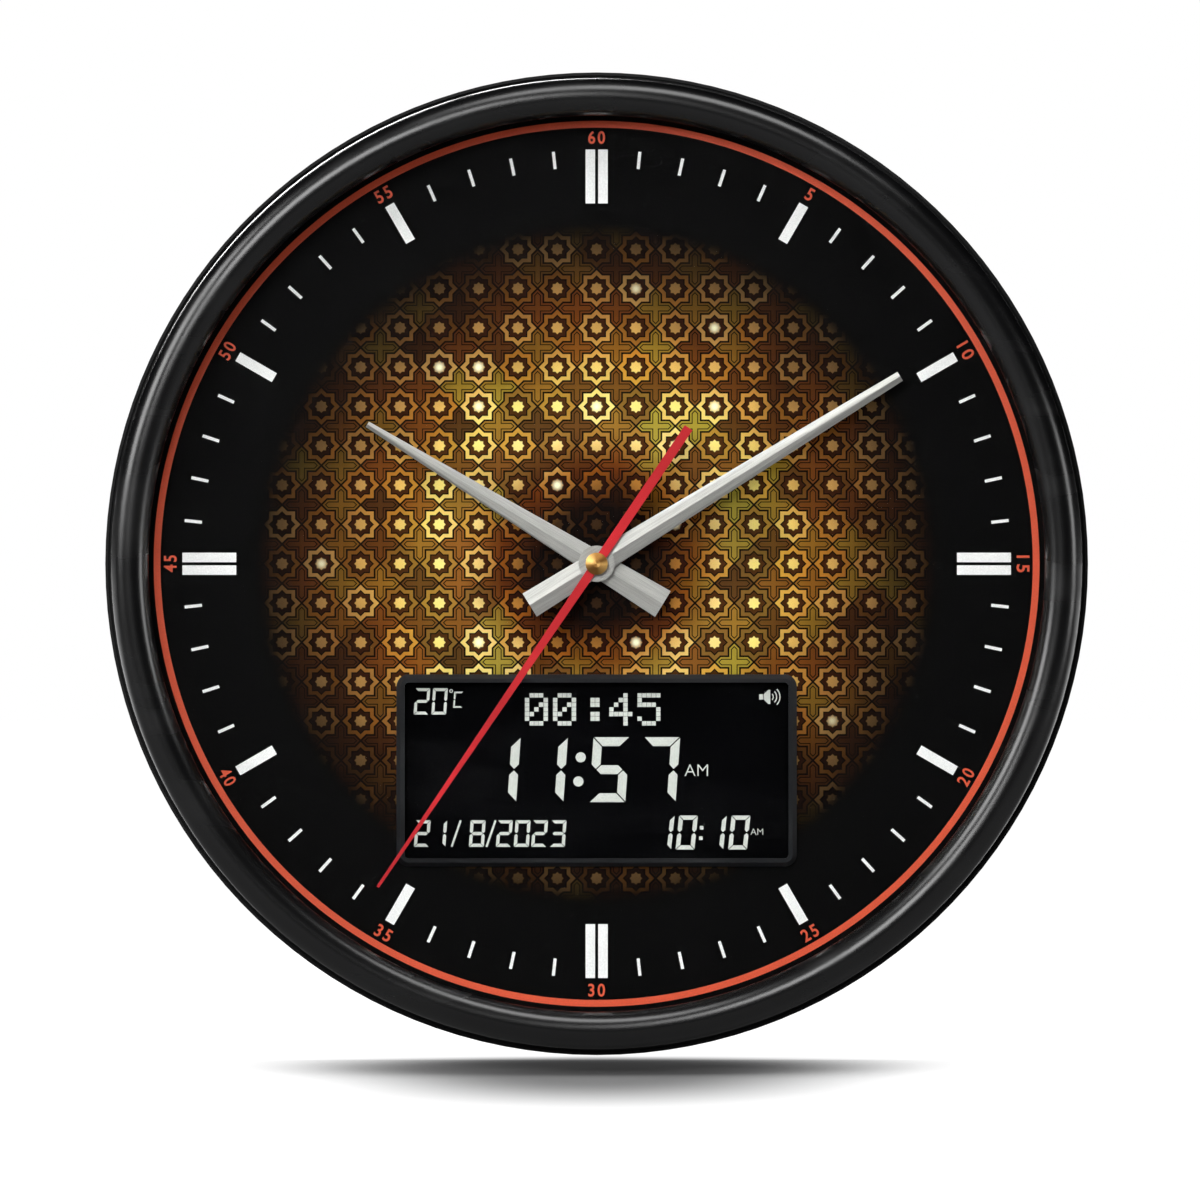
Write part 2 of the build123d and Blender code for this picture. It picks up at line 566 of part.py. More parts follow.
def third_wheel():
    """The wheel between the second arbor and the centre wheel."""
    arbor = disc(PIVOT_RADIUS, MOVEMENT_FLOOR - PIVOT_BITE, MOVEMENT_CEILING + PIVOT_BITE, *THIRD_AT)
    wheel = wheel_at(THIRD_AT, THIRD_BACK, THIRD_TEETH, THIRD_MODULE, THIRD_PHASE)
    pinion = pinion_at(THIRD_AT, CENTRE_BACK, THIRD_PINION_TEETH, CENTRE_MODULE, THIRD_PINION_PHASE)
    sleeve = disc(THIRD_SLEEVE_RADIUS, MOVEMENT_BACK + THIRD_BACK, MOVEMENT_BACK + CENTRE_BACK, *THIRD_AT)
    return arbor + wheel + pinion + sleeve


def centre_wheel():
    """The wheel that carries the minute arbor round by friction."""
    wheel = wheel_at((0, 0), CENTRE_BACK, CENTRE_TEETH, CENTRE_MODULE)
    return wheel - disc(MINUTE_PIPE_RADIUS, BRIDGE_LOW, DIAL_FACE)


def minute_arbor():
    """The pipe that carries the minute hand, with the cannon pinion."""
    low = BRIDGE_HIGH + END_PLAY
    pipe = disc(MINUTE_PIPE_RADIUS, low, MINUTE_HAND_LOW + HAND_RIDGE)
    pinion = pinion_at((0, 0), MINUTE_WHEEL_BACK, CANNON_TEETH, MINUTE_MODULE)
    return pipe + pinion - disc(SECOND_BORE, low, LENS_BACK)


def minute_wheel():
    """The idle wheel between the minute arbor and the hour wheel."""
    wheel = wheel_at(MINUTE_WHEEL_AT, MINUTE_WHEEL_BACK, MINUTE_WHEEL_TEETH, MINUTE_MODULE,
                     MINUTE_WHEEL_PHASE)
    pinion = pinion_at(MINUTE_WHEEL_AT, HOUR_BACK, MINUTE_PINION_TEETH, HOUR_MODULE)
    low = MOVEMENT_BACK + MINUTE_WHEEL_BACK
    bore_radius = MINUTE_POST_RADIUS + RUNNING
    hub = disc(bore_radius + MINUTE_WHEEL_HUB_WALL, low, MOVEMENT_BACK + HOUR_BACK, *MINUTE_WHEEL_AT)
    bore = disc(bore_radius, MOVEMENT_BACK, MOVEMENT_FACE, *MINUTE_WHEEL_AT)
    return wheel + pinion + hub - bore


def hour_wheel():
    """The wheel that turns once in twelve hours, with the pipe for the hour hand."""
    wheel = wheel_at((0, 0), HOUR_BACK, HOUR_TEETH, HOUR_MODULE, HOUR_PHASE)
    pipe = disc(HOUR_PIPE_RADIUS, MOVEMENT_BACK + HOUR_BACK, HOUR_HAND_LOW + HAND_RIDGE)
    return wheel + pipe - disc(MINUTE_BORE, MOVEMENT_BACK, LENS_BACK)


def setting_knob():
    """The knob at the back that sets the time, with its arbor and pinion."""
    knob_face = MOVEMENT_BACK - 2 * END_PLAY
    knob = disc(KNOB_RADIUS, knob_face - KNOB_HEIGHT, knob_face, *KNOB_AT)
    for x, z in around(KNOB_FLUTES, KNOB_RADIUS):
        knob -= disc(KNOB_FLUTE_RADIUS, knob_face - KNOB_HEIGHT, knob_face, KNOB_AT[0] + x, KNOB_AT[1] + z)
    arbor = disc(KNOB_ARBOR_RADIUS, knob_face, MOVEMENT_CEILING + PIVOT_BITE, *KNOB_AT)
    return knob + arbor + pinion_at(KNOB_AT, MINUTE_WHEEL_BACK, KNOB_TEETH, MINUTE_MODULE, KNOB_PHASE)


# ---------------------------------------------------------------- movement
def movement_outline(inset=0.0):
    """The movement's square body, or its inside when inset by the wall."""
    side = MOVEMENT_SIZE - 2 * inset
    return Pos(0, MOVEMENT_MIDDLE) * RectangleRounded(side, side, MOVEMENT_CORNER - inset)


def post(place, back, face, radius=POST_RADIUS):
    """A round post between two depths."""
    return disc(radius, back, face, *place)


def bridge_posts():
    """Where the train bridge stands on the rear shell."""
    low = BRIDGE_LOWER + BRIDGE_POST_INSET
    right = BRIDGE_RIGHT - BRIDGE_POST_INSET
    return ((BRIDGE_LEFT + BRIDGE_POST_INSET, low), (right, low),
            (right, BRIDGE_UPPER - BRIDGE_SLOPE - BRIDGE_POST_INSET / 2))


def coil_posts():
    """Where the stator and the coil's core are pinned."""
    offset = STATOR_HALF_LENGTH - STATOR_LEG_WIDTH / 2
    return ((-offset, COIL_HEIGHT), (offset, COIL_HEIGHT))


def timer_board_posts():
    """Where the timer board rests."""
    reach = TIMER_BOARD_HEIGHT / 2 - 2 * POST_RADIUS
    return ((TIMER_BOARD_X, TIMER_BOARD_Z - reach), (TIMER_BOARD_X, TIMER_BOARD_Z + reach))


def movement_rear_case():
    """The movement's rear shell, with its battery bay open to the back."""
    shell = sheet(movement_outline(), MOVEMENT_BACK, MOVEMENT_SEAM)
    shell -= sheet(movement_outline(MOVEMENT_WALL), MOVEMENT_FLOOR, MOVEMENT_SEAM)
    inner = MOVEMENT_SIZE - 2 * MOVEMENT_WALL
    height = BAY_HIGH - BAY_LOW
    shell -= block(BAY_LENGTH, height, MOVEMENT_BACK, MOVEMENT_FLOOR, BAY_START + BAY_LENGTH / 2, BAY_MIDDLE)
    shell += block(inner, MOVEMENT_WALL, MOVEMENT_BACK, MOVEMENT_SEAM, 0, BAY_HIGH + MOVEMENT_WALL / 2)
    end_wall = block(MOVEMENT_WALL, height, MOVEMENT_BACK, MOVEMENT_SEAM, BAY_END + MOVEMENT_WALL / 2,
                     BAY_MIDDLE)
    shell += end_wall & sheet(movement_outline(), MOVEMENT_BACK, MOVEMENT_SEAM)
    for place in bridge_posts():
        shell += post(place, MOVEMENT_FLOOR, BRIDGE_LOW)
    for place in coil_posts():
        shell += post(place, MOVEMENT_FLOOR, MOVEMENT_BACK + STATOR_BACK)
        shell += post(place, MOVEMENT_FLOOR, MOVEMENT_BACK + TIMER_BOARD_BACK + CORE_THICKNESS,
                      MOTOR_PIN_RADIUS)
    for place in timer_board_posts():
        shell += post(place, MOVEMENT_FLOOR, MOVEMENT_BACK + TIMER_BOARD_BACK)
    for place in (ROTOR_AT, INTERMEDIATE_AT, THIRD_AT):
        shell -= disc(PIVOT_RADIUS + RUNNING, MOVEMENT_FLOOR - PIVOT_BITE - END_PLAY, MOVEMENT_FLOOR, *place)
    shell -= disc(SECOND_BORE, MOVEMENT_FLOOR - PIVOT_BITE - END_PLAY, MOVEMENT_FLOOR)
    return shell - disc(KNOB_ARBOR_RADIUS + RUNNING, MOVEMENT_BACK, MOVEMENT_FLOOR, *KNOB_AT)


def movement_front_case():
    """The movement's front shell, with the threaded bush that holds it to the dial."""
    shell = sheet(movement_outline(), MOVEMENT_SEAM, MOVEMENT_FACE)
    shell -= sheet(movement_outline(MOVEMENT_WALL), MOVEMENT_SEAM, MOVEMENT_CEILING)
    inner = MOVEMENT_SIZE - 2 * MOVEMENT_WALL
    shell += block(inner, MOVEMENT_WALL, MOVEMENT_SEAM, MOVEMENT_FACE, 0, BAY_HIGH + MOVEMENT_WALL / 2)
    shell += disc(BUSH_RADIUS, MOVEMENT_CEILING, DIAL_FACE + NUT_THICKNESS + BUSH_BEYOND_NUT)
    shell += post(MINUTE_WHEEL_AT, MOVEMENT_BACK + MINUTE_WHEEL_BACK, MOVEMENT_CEILING, MINUTE_POST_RADIUS)
    shell -= disc(BUSH_BORE, MOVEMENT_CEILING, LENS_BACK)
    pivot_end = MOVEMENT_CEILING + PIVOT_BITE + END_PLAY
    shell -= disc(PIVOT_RADIUS + RUNNING, MOVEMENT_CEILING, pivot_end, *THIRD_AT)
    return shell - disc(KNOB_ARBOR_RADIUS + RUNNING, MOVEMENT_CEILING, pivot_end, *KNOB_AT)


def train_bridge():
    """The plate across the middle of the gear train that carries the upper pivots."""
    shoulder = BRIDGE_UPPER - BRIDGE_SLOPE
    corners = ((BRIDGE_LEFT, BRIDGE_LOWER), (BRIDGE_RIGHT, BRIDGE_LOWER), (BRIDGE_RIGHT, shoulder),
               (BRIDGE_RIGHT - BRIDGE_SLOPE, BRIDGE_UPPER), (BRIDGE_LEFT + BRIDGE_SLOPE, BRIDGE_UPPER),
               (BRIDGE_LEFT, shoulder))
    outline = fillet(Polygon(*corners, align=None).vertices(), BRIDGE_CORNER)
    plate = sheet(outline, BRIDGE_LOW, BRIDGE_HIGH)
    plate -= disc(SECOND_BORE, BRIDGE_LOW, BRIDGE_HIGH)
    for place in (ROTOR_AT, INTERMEDIATE_AT):
        plate -= disc(PIVOT_RADIUS + RUNNING, BRIDGE_LOW, BRIDGE_HIGH, *place)
    pinion_tip = CENTRE_MODULE * (THIRD_PINION_TEETH / 2 + PINION_ADDENDUM)
    return plate - disc(pinion_tip + 2 * END_PLAY, BRIDGE_LOW, BRIDGE_HIGH, *THIRD_AT)


def stator():
    """The motor's soft-iron plate round the rotor."""
    length = 2 * STATOR_HALF_LENGTH
    bar = Rectangle(length, STATOR_BAR_HIGH - STATOR_BAR_LOW)
    outline = Pos(0, (STATOR_BAR_LOW + STATOR_BAR_HIGH) / 2) * bar
    bore = MAGNET_RADIUS + STATOR_BORE_GAP
    outline += Pos(*ROTOR_AT) * Circle(bore + STATOR_LOBE)
    top = COIL_HEIGHT + STATOR_LEG_WIDTH / 2
    for x, z in coil_posts():
        leg = Rectangle(STATOR_LEG_WIDTH, top - STATOR_BAR_HIGH)
        outline += Pos(x, (top + STATOR_BAR_HIGH) / 2) * leg
        outline -= Pos(x, z) * Circle(MOTOR_PIN_RADIUS)
    outline -= Pos(*ROTOR_AT) * Circle(bore)
    low = MOVEMENT_BACK + STATOR_BACK
    return sheet(outline, low, low + STATOR_THICKNESS)


def core_depths():
    """The coil core's back and front, on top of the stator."""
    low = MOVEMENT_BACK + STATOR_BACK + STATOR_THICKNESS
    return low, low + CORE_THICKNESS


def coil_core():
    """The soft-iron strip through the coil."""
    low, high = core_depths()
    strip = block(2 * STATOR_HALF_LENGTH, CORE_WIDTH, low, high, 0, COIL_HEIGHT)
    for x, z in coil_posts():
        strip -= disc(MOTOR_PIN_RADIUS, low, high, x, z)
    return strip


def along_coil(radius, start, end):
    """A round piece along the coil's axis, which runs along X."""
    low, high = core_depths()
    middle = Plane(origin=(start, -(low + high) / 2, COIL_HEIGHT), z_dir=(1, 0, 0))
    return extrude(middle * Circle(radius), amount=end - start)


def coil_bobbin():
    """The plastic former of the coil."""
    tube = along_coil(COIL_TUBE_RADIUS, -COIL_HALF_LENGTH, COIL_HALF_LENGTH)
    for end in (-COIL_HALF_LENGTH, COIL_HALF_LENGTH - COIL_FLANGE_THICKNESS):
        tube += along_coil(COIL_FLANGE_RADIUS, end, end + COIL_FLANGE_THICKNESS)
    low, high = core_depths()
    return tube - block(2 * STATOR_HALF_LENGTH, CORE_WIDTH, low, high, 0, COIL_HEIGHT)


def coil_winding():
    """The copper wire on the bobbin, as one body."""
    inner = COIL_HALF_LENGTH - COIL_FLANGE_THICKNESS
    return along_coil(COIL_RADIUS, -inner, inner) - along_coil(COIL_TUBE_RADIUS, -inner, inner)


def timer_board():
    """The movement's own circuit board."""
    low = MOVEMENT_BACK + TIMER_BOARD_BACK
    return block(TIMER_BOARD_WIDTH, TIMER_BOARD_HEIGHT, low, low + TIMER_BOARD_THICKNESS,
                 TIMER_BOARD_X, TIMER_BOARD_Z)


def quartz_crystal():
    """The small can that keeps the time, lying on the timer board."""
    depth = MOVEMENT_BACK + TIMER_BOARD_BACK + TIMER_BOARD_THICKNESS + CRYSTAL_RADIUS
    base = Plane(origin=(TIMER_BOARD_X, -depth, TIMER_BOARD_Z - CRYSTAL_LENGTH / 2), z_dir=(0, 0, 1))
    return extrude(base * Circle(CRYSTAL_RADIUS), amount=CRYSTAL_LENGTH)


def cell(base_plane):
    """An AA battery standing on its flat end on a plane."""
    body = extrude(base_plane * Circle(CELL_RADIUS), amount=CELL_LENGTH - CELL_NUB_LENGTH)
    body = chamfer(body.edges().filter_by(GeomType.CIRCLE), CELL_GAP)
    return body + extrude(base_plane * Circle(CELL_NUB_RADIUS), amount=CELL_LENGTH)


def coil_spring(base_plane):
    """A close-wound contact spring standing on a plane."""
    section = Sketch()
    for turn in range(SPRING_TURNS):
        section += Pos(SPRING_RADIUS, SPRING_WIRE_RADIUS + turn * SPRING_PITCH) * Circle(SPRING_WIRE_RADIUS)
    upright = revolve(Plane.XZ * section, Axis.Z)
    return Location(base_plane) * upright


def movement_cell_depth():
    """The movement battery's axis, resting against the front shell."""
    return MOVEMENT_CEILING - CELL_RADIUS - RUNNING


def movement_cell_plane():
    """Where the movement battery's flat end stands, on its spring."""
    start = BAY_START + MOVEMENT_PLATE_THICKNESS + SPRING_LENGTH
    return Plane(origin=(start, -movement_cell_depth(), BAY_MIDDLE), z_dir=(1, 0, 0))


def movement_battery():
    """The battery that drives the hands."""
    return cell(movement_cell_plane())


def movement_contacts():
    """The two contact plates of the movement's battery bay, one with its spring."""
    high = MOVEMENT_SEAM
    low = MOVEMENT_BACK + MOVEMENT_WALL
    height = 2 * (CELL_RADIUS - CONTACT_MARGIN)
    plate = MOVEMENT_PLATE_THICKNESS
    minus = block(plate, height, low, high, BAY_START + plate / 2, BAY_MIDDLE)
    seat = Plane(origin=(BAY_START + plate, -movement_cell_depth(), BAY_MIDDLE), z_dir=(1, 0, 0))
    plus = block(plate, height, low, high, BAY_END - plate / 2, BAY_MIDDLE)
    return group([minus, coil_spring(seat), plus])


def bush_washer():
    """The rubber washer between the movement and the dial."""
    return ring(BUSH_RADIUS, WASHER_RADIUS, MOVEMENT_FACE, DIAL_BACK)


def bush_nut():
    """The brass nut that clamps the movement to the dial."""
    hexagon = RegularPolygon(NUT_ACROSS_FLATS / 2, 6, major_radius=False)
    return sheet(hexagon - Circle(BUSH_RADIUS), DIAL_FACE, DIAL_FACE + NUT_THICKNESS)


# ---------------------------------------------------------------- hands
def blade(length, tail, tip_width, tail_width, low):
    """A hand's tapered blade, ridged along its middle and pointing at twelve."""
    corners = []
    for z, width in ((-tail, tail_width), (length, tip_width)):
        for side in (-1, 1):
            corners += [(side * width / 2, -low, z), (side * width / 2, -low - HAND_EDGE, z)]
        corners.append((0, -low - HAND_RIDGE, z))
    return ConvexPolyhedron(corners)


def hour_hand():
    """The short hand, pushed on the hour pipe."""
    hand = blade(HOUR_HAND_LENGTH, HOUR_HAND_TAIL, HOUR_HAND_TIP_WIDTH, HOUR_HAND_TAIL_WIDTH, HOUR_HAND_LOW)
    hand += disc(HOUR_HUB_RADIUS, HOUR_HAND_LOW, HOUR_HAND_LOW + HAND_RIDGE)
    hand -= disc(HOUR_PIPE_RADIUS, DIAL_FACE, LENS_BACK)
    return Rot(0, HOUR_ANGLE, 0) * hand


def minute_hand():
    """The long hand, pushed on the minute arbor."""
    hand = blade(MINUTE_HAND_LENGTH, MINUTE_HAND_TAIL, MINUTE_HAND_TIP_WIDTH, MINUTE_HAND_TAIL_WIDTH,
                 MINUTE_HAND_LOW)
    hand += disc(MINUTE_HUB_RADIUS, MINUTE_HAND_LOW, MINUTE_HAND_LOW + HAND_RIDGE)
    hand -= disc(MINUTE_PIPE_RADIUS, DIAL_FACE, LENS_BACK)
    return Rot(0, MINUTE_ANGLE, 0) * hand


def second_hand():
    """The thin red hand with its long tail, pushed on the second arbor."""
    half_tail = SECOND_HAND_TAIL_WIDTH / 2
    half_tip = SECOND_HAND_TIP_WIDTH / 2
    outline = Polygon((-half_tail, -SECOND_HAND_TAIL), (half_tail, -SECOND_HAND_TAIL), (half_tail, 0),
                      (half_tip, SECOND_HAND_LENGTH), (-half_tip, SECOND_HAND_LENGTH), (-half_tail, 0),
                      align=None)
    outline += Circle(SECOND_HUB_RADIUS)
    outline -= Circle(SECOND_ARBOR_RADIUS)
    return Rot(0, SECOND_ANGLE, 0) * sheet(outline, SECOND_HAND_LOW, SECOND_HAND_HIGH)


def hand_cap():
    """The brass cap over the hands' middle."""
    top = SECOND_HAND_HIGH + CAP_HEIGHT
    profile = Polygon((0, SECOND_HAND_HIGH), (CAP_RADIUS, SECOND_HAND_HIGH),
                      (CAP_RADIUS, SECOND_HAND_HIGH + CAP_RIM), (CAP_TOP_RADIUS, top), (0, top), align=None)
    return turned(profile) - disc(SECOND_ARBOR_RADIUS, SECOND_HAND_HIGH, SECOND_HAND_HIGH + ARBOR_IN_CAP)


# ---------------------------------------------------------------- case
def housing_screw_places():
    """The screws that join the two halves of the case."""
    return around(HOUSING_SCREW_COUNT, HOUSING_SCREW_CIRCLE, 180 / HOUSING_SCREW_COUNT)


def front_bezel():
    """The hollow half-round ring at the front, with its screw bosses."""
    crest = BEZEL_WIDTH / 2
    hollow = crest - BEZEL_WALL
    outer_foot = (BEZEL_OUTER, FLANGE_FACE)
    outer_spring = (BEZEL_OUTER, LENS_FACE)
    inner_spring = (BEZEL_INNER, LENS_FACE)
    hollow_inner = (BEZEL_INNER + BEZEL_WALL, LENS_FACE)
    hollow_outer = (BEZEL_OUTER - BEZEL_WALL, LENS_FACE)
    hollow_foot = (BEZEL_OUTER - BEZEL_WALL, FLANGE_FACE)
    edges = Line(outer_foot, outer_spring)
    edges += ThreePointArc(outer_spring, (BEZEL_MIDDLE, LENS_FACE + crest), inner_spring)
    edges += Line(inner_spring, hollow_inner)
    edges += ThreePointArc(hollow_inner, (BEZEL_MIDDLE, LENS_FACE + hollow), hollow_outer)
    edges += Line(hollow_outer, hollow_foot)
    edges += Line(hollow_foot, outer_foot)
    bezel = turned(make_face(edges))
    for x, z in housing_screw_places():
        bezel += disc(HOUSING_BOSS_RADIUS, FLANGE_FACE, LENS_FACE + hollow, x, z)
    depth = HOUSING_SCREW_LENGTH - FLANGE_THICKNESS + PILOT_SPARE
    for x, z in housing_screw_places():
        bezel -= disc(HOUSING_SCREW_RADIUS, FLANGE_FACE, FLANGE_FACE + depth, x, z)
    return bezel


def lens():
    """The clear disc over the dial, held between the bezel and the housing's wall."""
    return disc(WALL_OUTER, LENS_BACK, LENS_FACE)


def dial_plate():
    """The printed dial, with its hole for the movement and its cut-out for the display."""
    outline = Circle(WALL_INNER - SLIP) - Circle(BUSH_RADIUS + SLIP)
    cut = RectangleRounded(SKIRT_WIDTH + 2 * SLIP, SKIRT_HEIGHT + 2 * SLIP, TRIM_SKIRT_WALL + SLIP)
    return sheet(outline - Pos(0, DISPLAY_MIDDLE) * cut, DIAL_BACK, DIAL_FACE)


def board_screw_places():
    """The main board's four corners."""
    x = MAIN_BOARD_WIDTH / 2 - BOARD_HOLE_INSET
    z = MAIN_BOARD_HEIGHT / 2 - BOARD_HOLE_INSET
    return [(sx * x, DISPLAY_MIDDLE + sz * z) for sx in (-1, 1) for sz in (-1, 1)]


def speaker_screw_places():
    """The speaker's ears."""
    places = around(SPEAKER_EARS, SPEAKER_EAR_CIRCLE, 180 / SPEAKER_EARS)
    return [(x, z + SPEAKER_HEIGHT) for x, z in places]


def key_board_width():
    """The button board reaches past the row of buttons on both sides."""
    return (BUTTON_COUNT - 1) * BUTTON_PITCH + 2 * KEY_BOARD_MARGIN


def key_screw_places():
    """The button board's two ends."""
    x = key_board_width() / 2 - BOARD_HOLE_INSET
    return [(-x, BUTTON_ROW), (x, BUTTON_ROW)]


def hanger_screw_places():
    """The two screws of the hanger plate."""
    return [(-HANGER_SCREW_OFFSET, HANGER_MIDDLE), (HANGER_SCREW_OFFSET, HANGER_MIDDLE)]


def button_x(index):
    """The place of one button in the row."""
    return (index - (BUTTON_COUNT - 1) / 2) * BUTTON_PITCH


def boss(x, z, face, seat_gap=0.0):
    """A screw boss on the back panel, with its pilot hole open at its face."""
    pilot = face - (INNER_SCREW_LENGTH - seat_gap) - PILOT_SPARE
    return disc(INNER_BOSS_RADIUS, PANEL_FACE, face, x, z), disc(INNER_SCREW_RADIUS, pilot, face, x, z)


def grille_places():
    """Rings of holes in front of the speaker's cone."""
    places = [(0.0, SPEAKER_HEIGHT)]
    for ring_number in range(1, GRILLE_RINGS + 1):
        count = GRILLE_RING_HOLES * ring_number
        places += [(x, z + SPEAKER_HEIGHT) for x, z in around(count, ring_number * GRILLE_RING_STEP)]
    return places


def panel_openings():
    """What is cut through the back panel, as one flat outline."""
    side = MOVEMENT_SIZE + 2 * ACCESS_MARGIN
    cut = Pos(0, MOVEMENT_MIDDLE) * RectangleRounded(side, side, MOVEMENT_CORNER + ACCESS_MARGIN)
    cut += Pos(0, HANGER_MIDDLE) * Rectangle(HEAD_ROOM_WIDTH, HEAD_ROOM_HEIGHT)
    cut += Pos(POCKET_X, POCKET_Z) * Rectangle(POCKET_WIDTH, POCKET_LENGTH)
    for index in range(BUTTON_COUNT):
        cut += Pos(button_x(index), BUTTON_ROW) * Circle(BUTTON_RADIUS + BUTTON_GAP)
    for x, z in grille_places():
        cut += Pos(x, z) * Circle(GRILLE_HOLE_RADIUS)
    return cut


def battery_pocket():
    """The tub that holds the two batteries of the display."""
    outer = Rectangle(POCKET_WIDTH + 2 * POCKET_WALL, POCKET_LENGTH + 2 * POCKET_WALL)
    tub = sheet(Pos(POCKET_X, POCKET_Z) * outer, PANEL_BACK, POCKET_FLOOR + POCKET_WALL)
    return tub - block(POCKET_WIDTH, POCKET_LENGTH, PANEL_BACK, POCKET_FLOOR, POCKET_X, POCKET_Z)


def door_rails():
    """The two rails that the battery door slides in."""
    rails = []
    tongue_depth = DOOR_THICKNESS / 2
    for side in (-1, 1):
        inner = DOOR_WIDTH / 2 + DOOR_TONGUE + 2 * SLIP
        wall_x = POCKET_X + side * (inner + RAIL_WALL / 2)
        rail = block(RAIL_WALL, DOOR_LENGTH, DOOR_BACK - SLIP - RAIL_ROOF + tongue_depth, PANEL_BACK,
                     wall_x, POCKET_Z)
        roof_high = DOOR_BACK - SLIP + tongue_depth
        roof_x = POCKET_X + side * (DOOR_WIDTH / 2 + 2 * SLIP + (DOOR_TONGUE + RAIL_WALL) / 2)
        roof_width = DOOR_TONGUE + RAIL_WALL
        rail += block(roof_width, DOOR_LENGTH, roof_high - RAIL_ROOF, roof_high, roof_x, POCKET_Z)
        rails.append(rail)
    return rails


def rear_housing():
    """The rear half of the case: wall, flange, dial ledge, back panel and all that stands on it."""
    case = disc(WALL_OUTER, PANEL_BACK, PANEL_FACE)
    case += ring(WALL_INNER, WALL_OUTER, 0, LENS_BACK)
    case += ring(WALL_INNER, CASE_RADIUS, FLANGE_BACK, FLANGE_FACE)
    case += ring(CASE_RADIUS - LIP_WIDTH, CASE_RADIUS, FLANGE_FACE, FLANGE_FACE + LIP_HEIGHT)
    case += ring(WALL_INNER - LEDGE_WIDTH, WALL_INNER, DIAL_BACK - LEDGE_THICKNESS, DIAL_BACK)
    case -= sheet(panel_openings(), PANEL_BACK, PANEL_FACE)
    case += battery_pocket()
    case += ring(CONE_EDGE, SPEAKER_RADIUS, PANEL_FACE, SPEAKER_SEAT_FACE, 0, SPEAKER_HEIGHT)
    pilots = []
    bosses = [boss(x, z, MAIN_BOARD_BACK, BOARD_THICKNESS) for x, z in board_screw_places()]
    bosses += [boss(x, z, SPEAKER_SEAT_FACE, SPEAKER_FLANGE) for x, z in speaker_screw_places()]
    bosses += [boss(x, z, KEY_BOARD_BACK, BOARD_THICKNESS) for x, z in key_screw_places()]
    for pillar, pilot in bosses:
        case += pillar
        pilots.append(pilot)
    for x, z in hanger_screw_places():
        case += disc(INNER_BOSS_RADIUS, PANEL_FACE, PANEL_FACE + HANGER_BOSS_HEIGHT, x, z)
        pilot_end = PANEL_BACK - HANGER_THICKNESS + INNER_SCREW_LENGTH + PILOT_SPARE
        pilots.append(disc(INNER_SCREW_RADIUS, PANEL_BACK, pilot_end, x, z))
    for x, z in housing_screw_places():
        pilots.append(disc(HOUSING_SCREW_RADIUS + SCREW_HOLE_GAP, FLANGE_BACK, FLANGE_FACE, x, z))
    for rail in door_rails():
        case += rail
    for pilot in pilots:
        case -= pilot
    return case


def housing_screws():
    """The screws driven from the back through the flange into the bezel."""
    return group([pan_screw(x, z, FLANGE_BACK, HOUSING_SCREW_LENGTH, HOUSING_SCREW_RADIUS,
                            HOUSING_SCREW_HEAD_RADIUS, HOUSING_SCREW_HEAD_HEIGHT, 1)
                  for x, z in housing_screw_places()])


def inner_screws():
    """The small screws of the main board, the speaker and the button board."""
    screws = [inner_screw(x, z, MAIN_BOARD_FACE, -1) for x, z in board_screw_places()]
    screws += [inner_screw(x, z, SPEAKER_FLANGE_FACE, -1) for x, z in speaker_screw_places()]
    screws += [inner_screw(x, z, KEY_BOARD_FACE, -1) for x, z in key_screw_places()]
    return group(screws)


def hanger_screws():
    """The two screws that hold the hanger plate to the back panel."""
    seat = PANEL_BACK - HANGER_THICKNESS
    return group([inner_screw(x, z, seat, 1) for x, z in hanger_screw_places()])


def hanger_plate():
    """The steel plate with the keyhole that hangs on a wall screw."""
    outline = Pos(0, HANGER_MIDDLE) * RectangleRounded(HANGER_WIDTH, HANGER_HEIGHT, HANGER_CORNER)
    outline -= Pos(0, KEYHOLE_MIDDLE) * Circle(KEYHOLE_RADIUS)
    outline -= Pos(0, KEYHOLE_MIDDLE + KEYHOLE_RUN / 2) * Rectangle(2 * KEYHOLE_SLOT_RADIUS, KEYHOLE_RUN)
    outline -= Pos(0, KEYHOLE_MIDDLE + KEYHOLE_RUN) * Circle(KEYHOLE_SLOT_RADIUS)
    for x, z in hanger_screw_places():
        outline -= Pos(x, z) * Circle(INNER_SCREW_RADIUS + SCREW_HOLE_GAP)
    return sheet(outline, PANEL_BACK - HANGER_THICKNESS, PANEL_BACK)


# ---------------------------------------------------------------- display
def display_trim():
    """The bevelled frame round the display, with a skirt through the dial."""
    frame = rounded(TRIM_WIDTH, TRIM_HEIGHT, TRIM_CORNER, DIAL_FACE, TRIM_FACE, 0, DISPLAY_MIDDLE)
    frame = chamfer(frame.faces().sort_by(Axis.Y)[0].edges(), TRIM_BEVEL)
    frame += rounded(SKIRT_WIDTH, SKIRT_HEIGHT, TRIM_SKIRT_WALL, DIAL_FACE - TRIM_SKIRT_DEPTH, DIAL_FACE,
                     0, DISPLAY_MIDDLE)
    screen = block(SCREEN_WIDTH + 2 * SLIP, SCREEN_HEIGHT + 2 * SLIP, DIAL_FACE - TRIM_SKIRT_DEPTH,
                   WINDOW_FACE, 0, DISPLAY_MIDDLE)
    sight = rounded(TRIM_WIDTH - 2 * TRIM_BORDER, TRIM_HEIGHT - 2 * TRIM_BORDER, WINDOW_CORNER, WINDOW_FACE,
                    TRIM_FACE, 0, DISPLAY_MIDDLE)
    return frame - screen - sight


def display_window():
    """The clear pane in the trim."""
    return block(SCREEN_WIDTH, SCREEN_HEIGHT, WINDOW_BACK, WINDOW_FACE, 0, DISPLAY_MIDDLE)


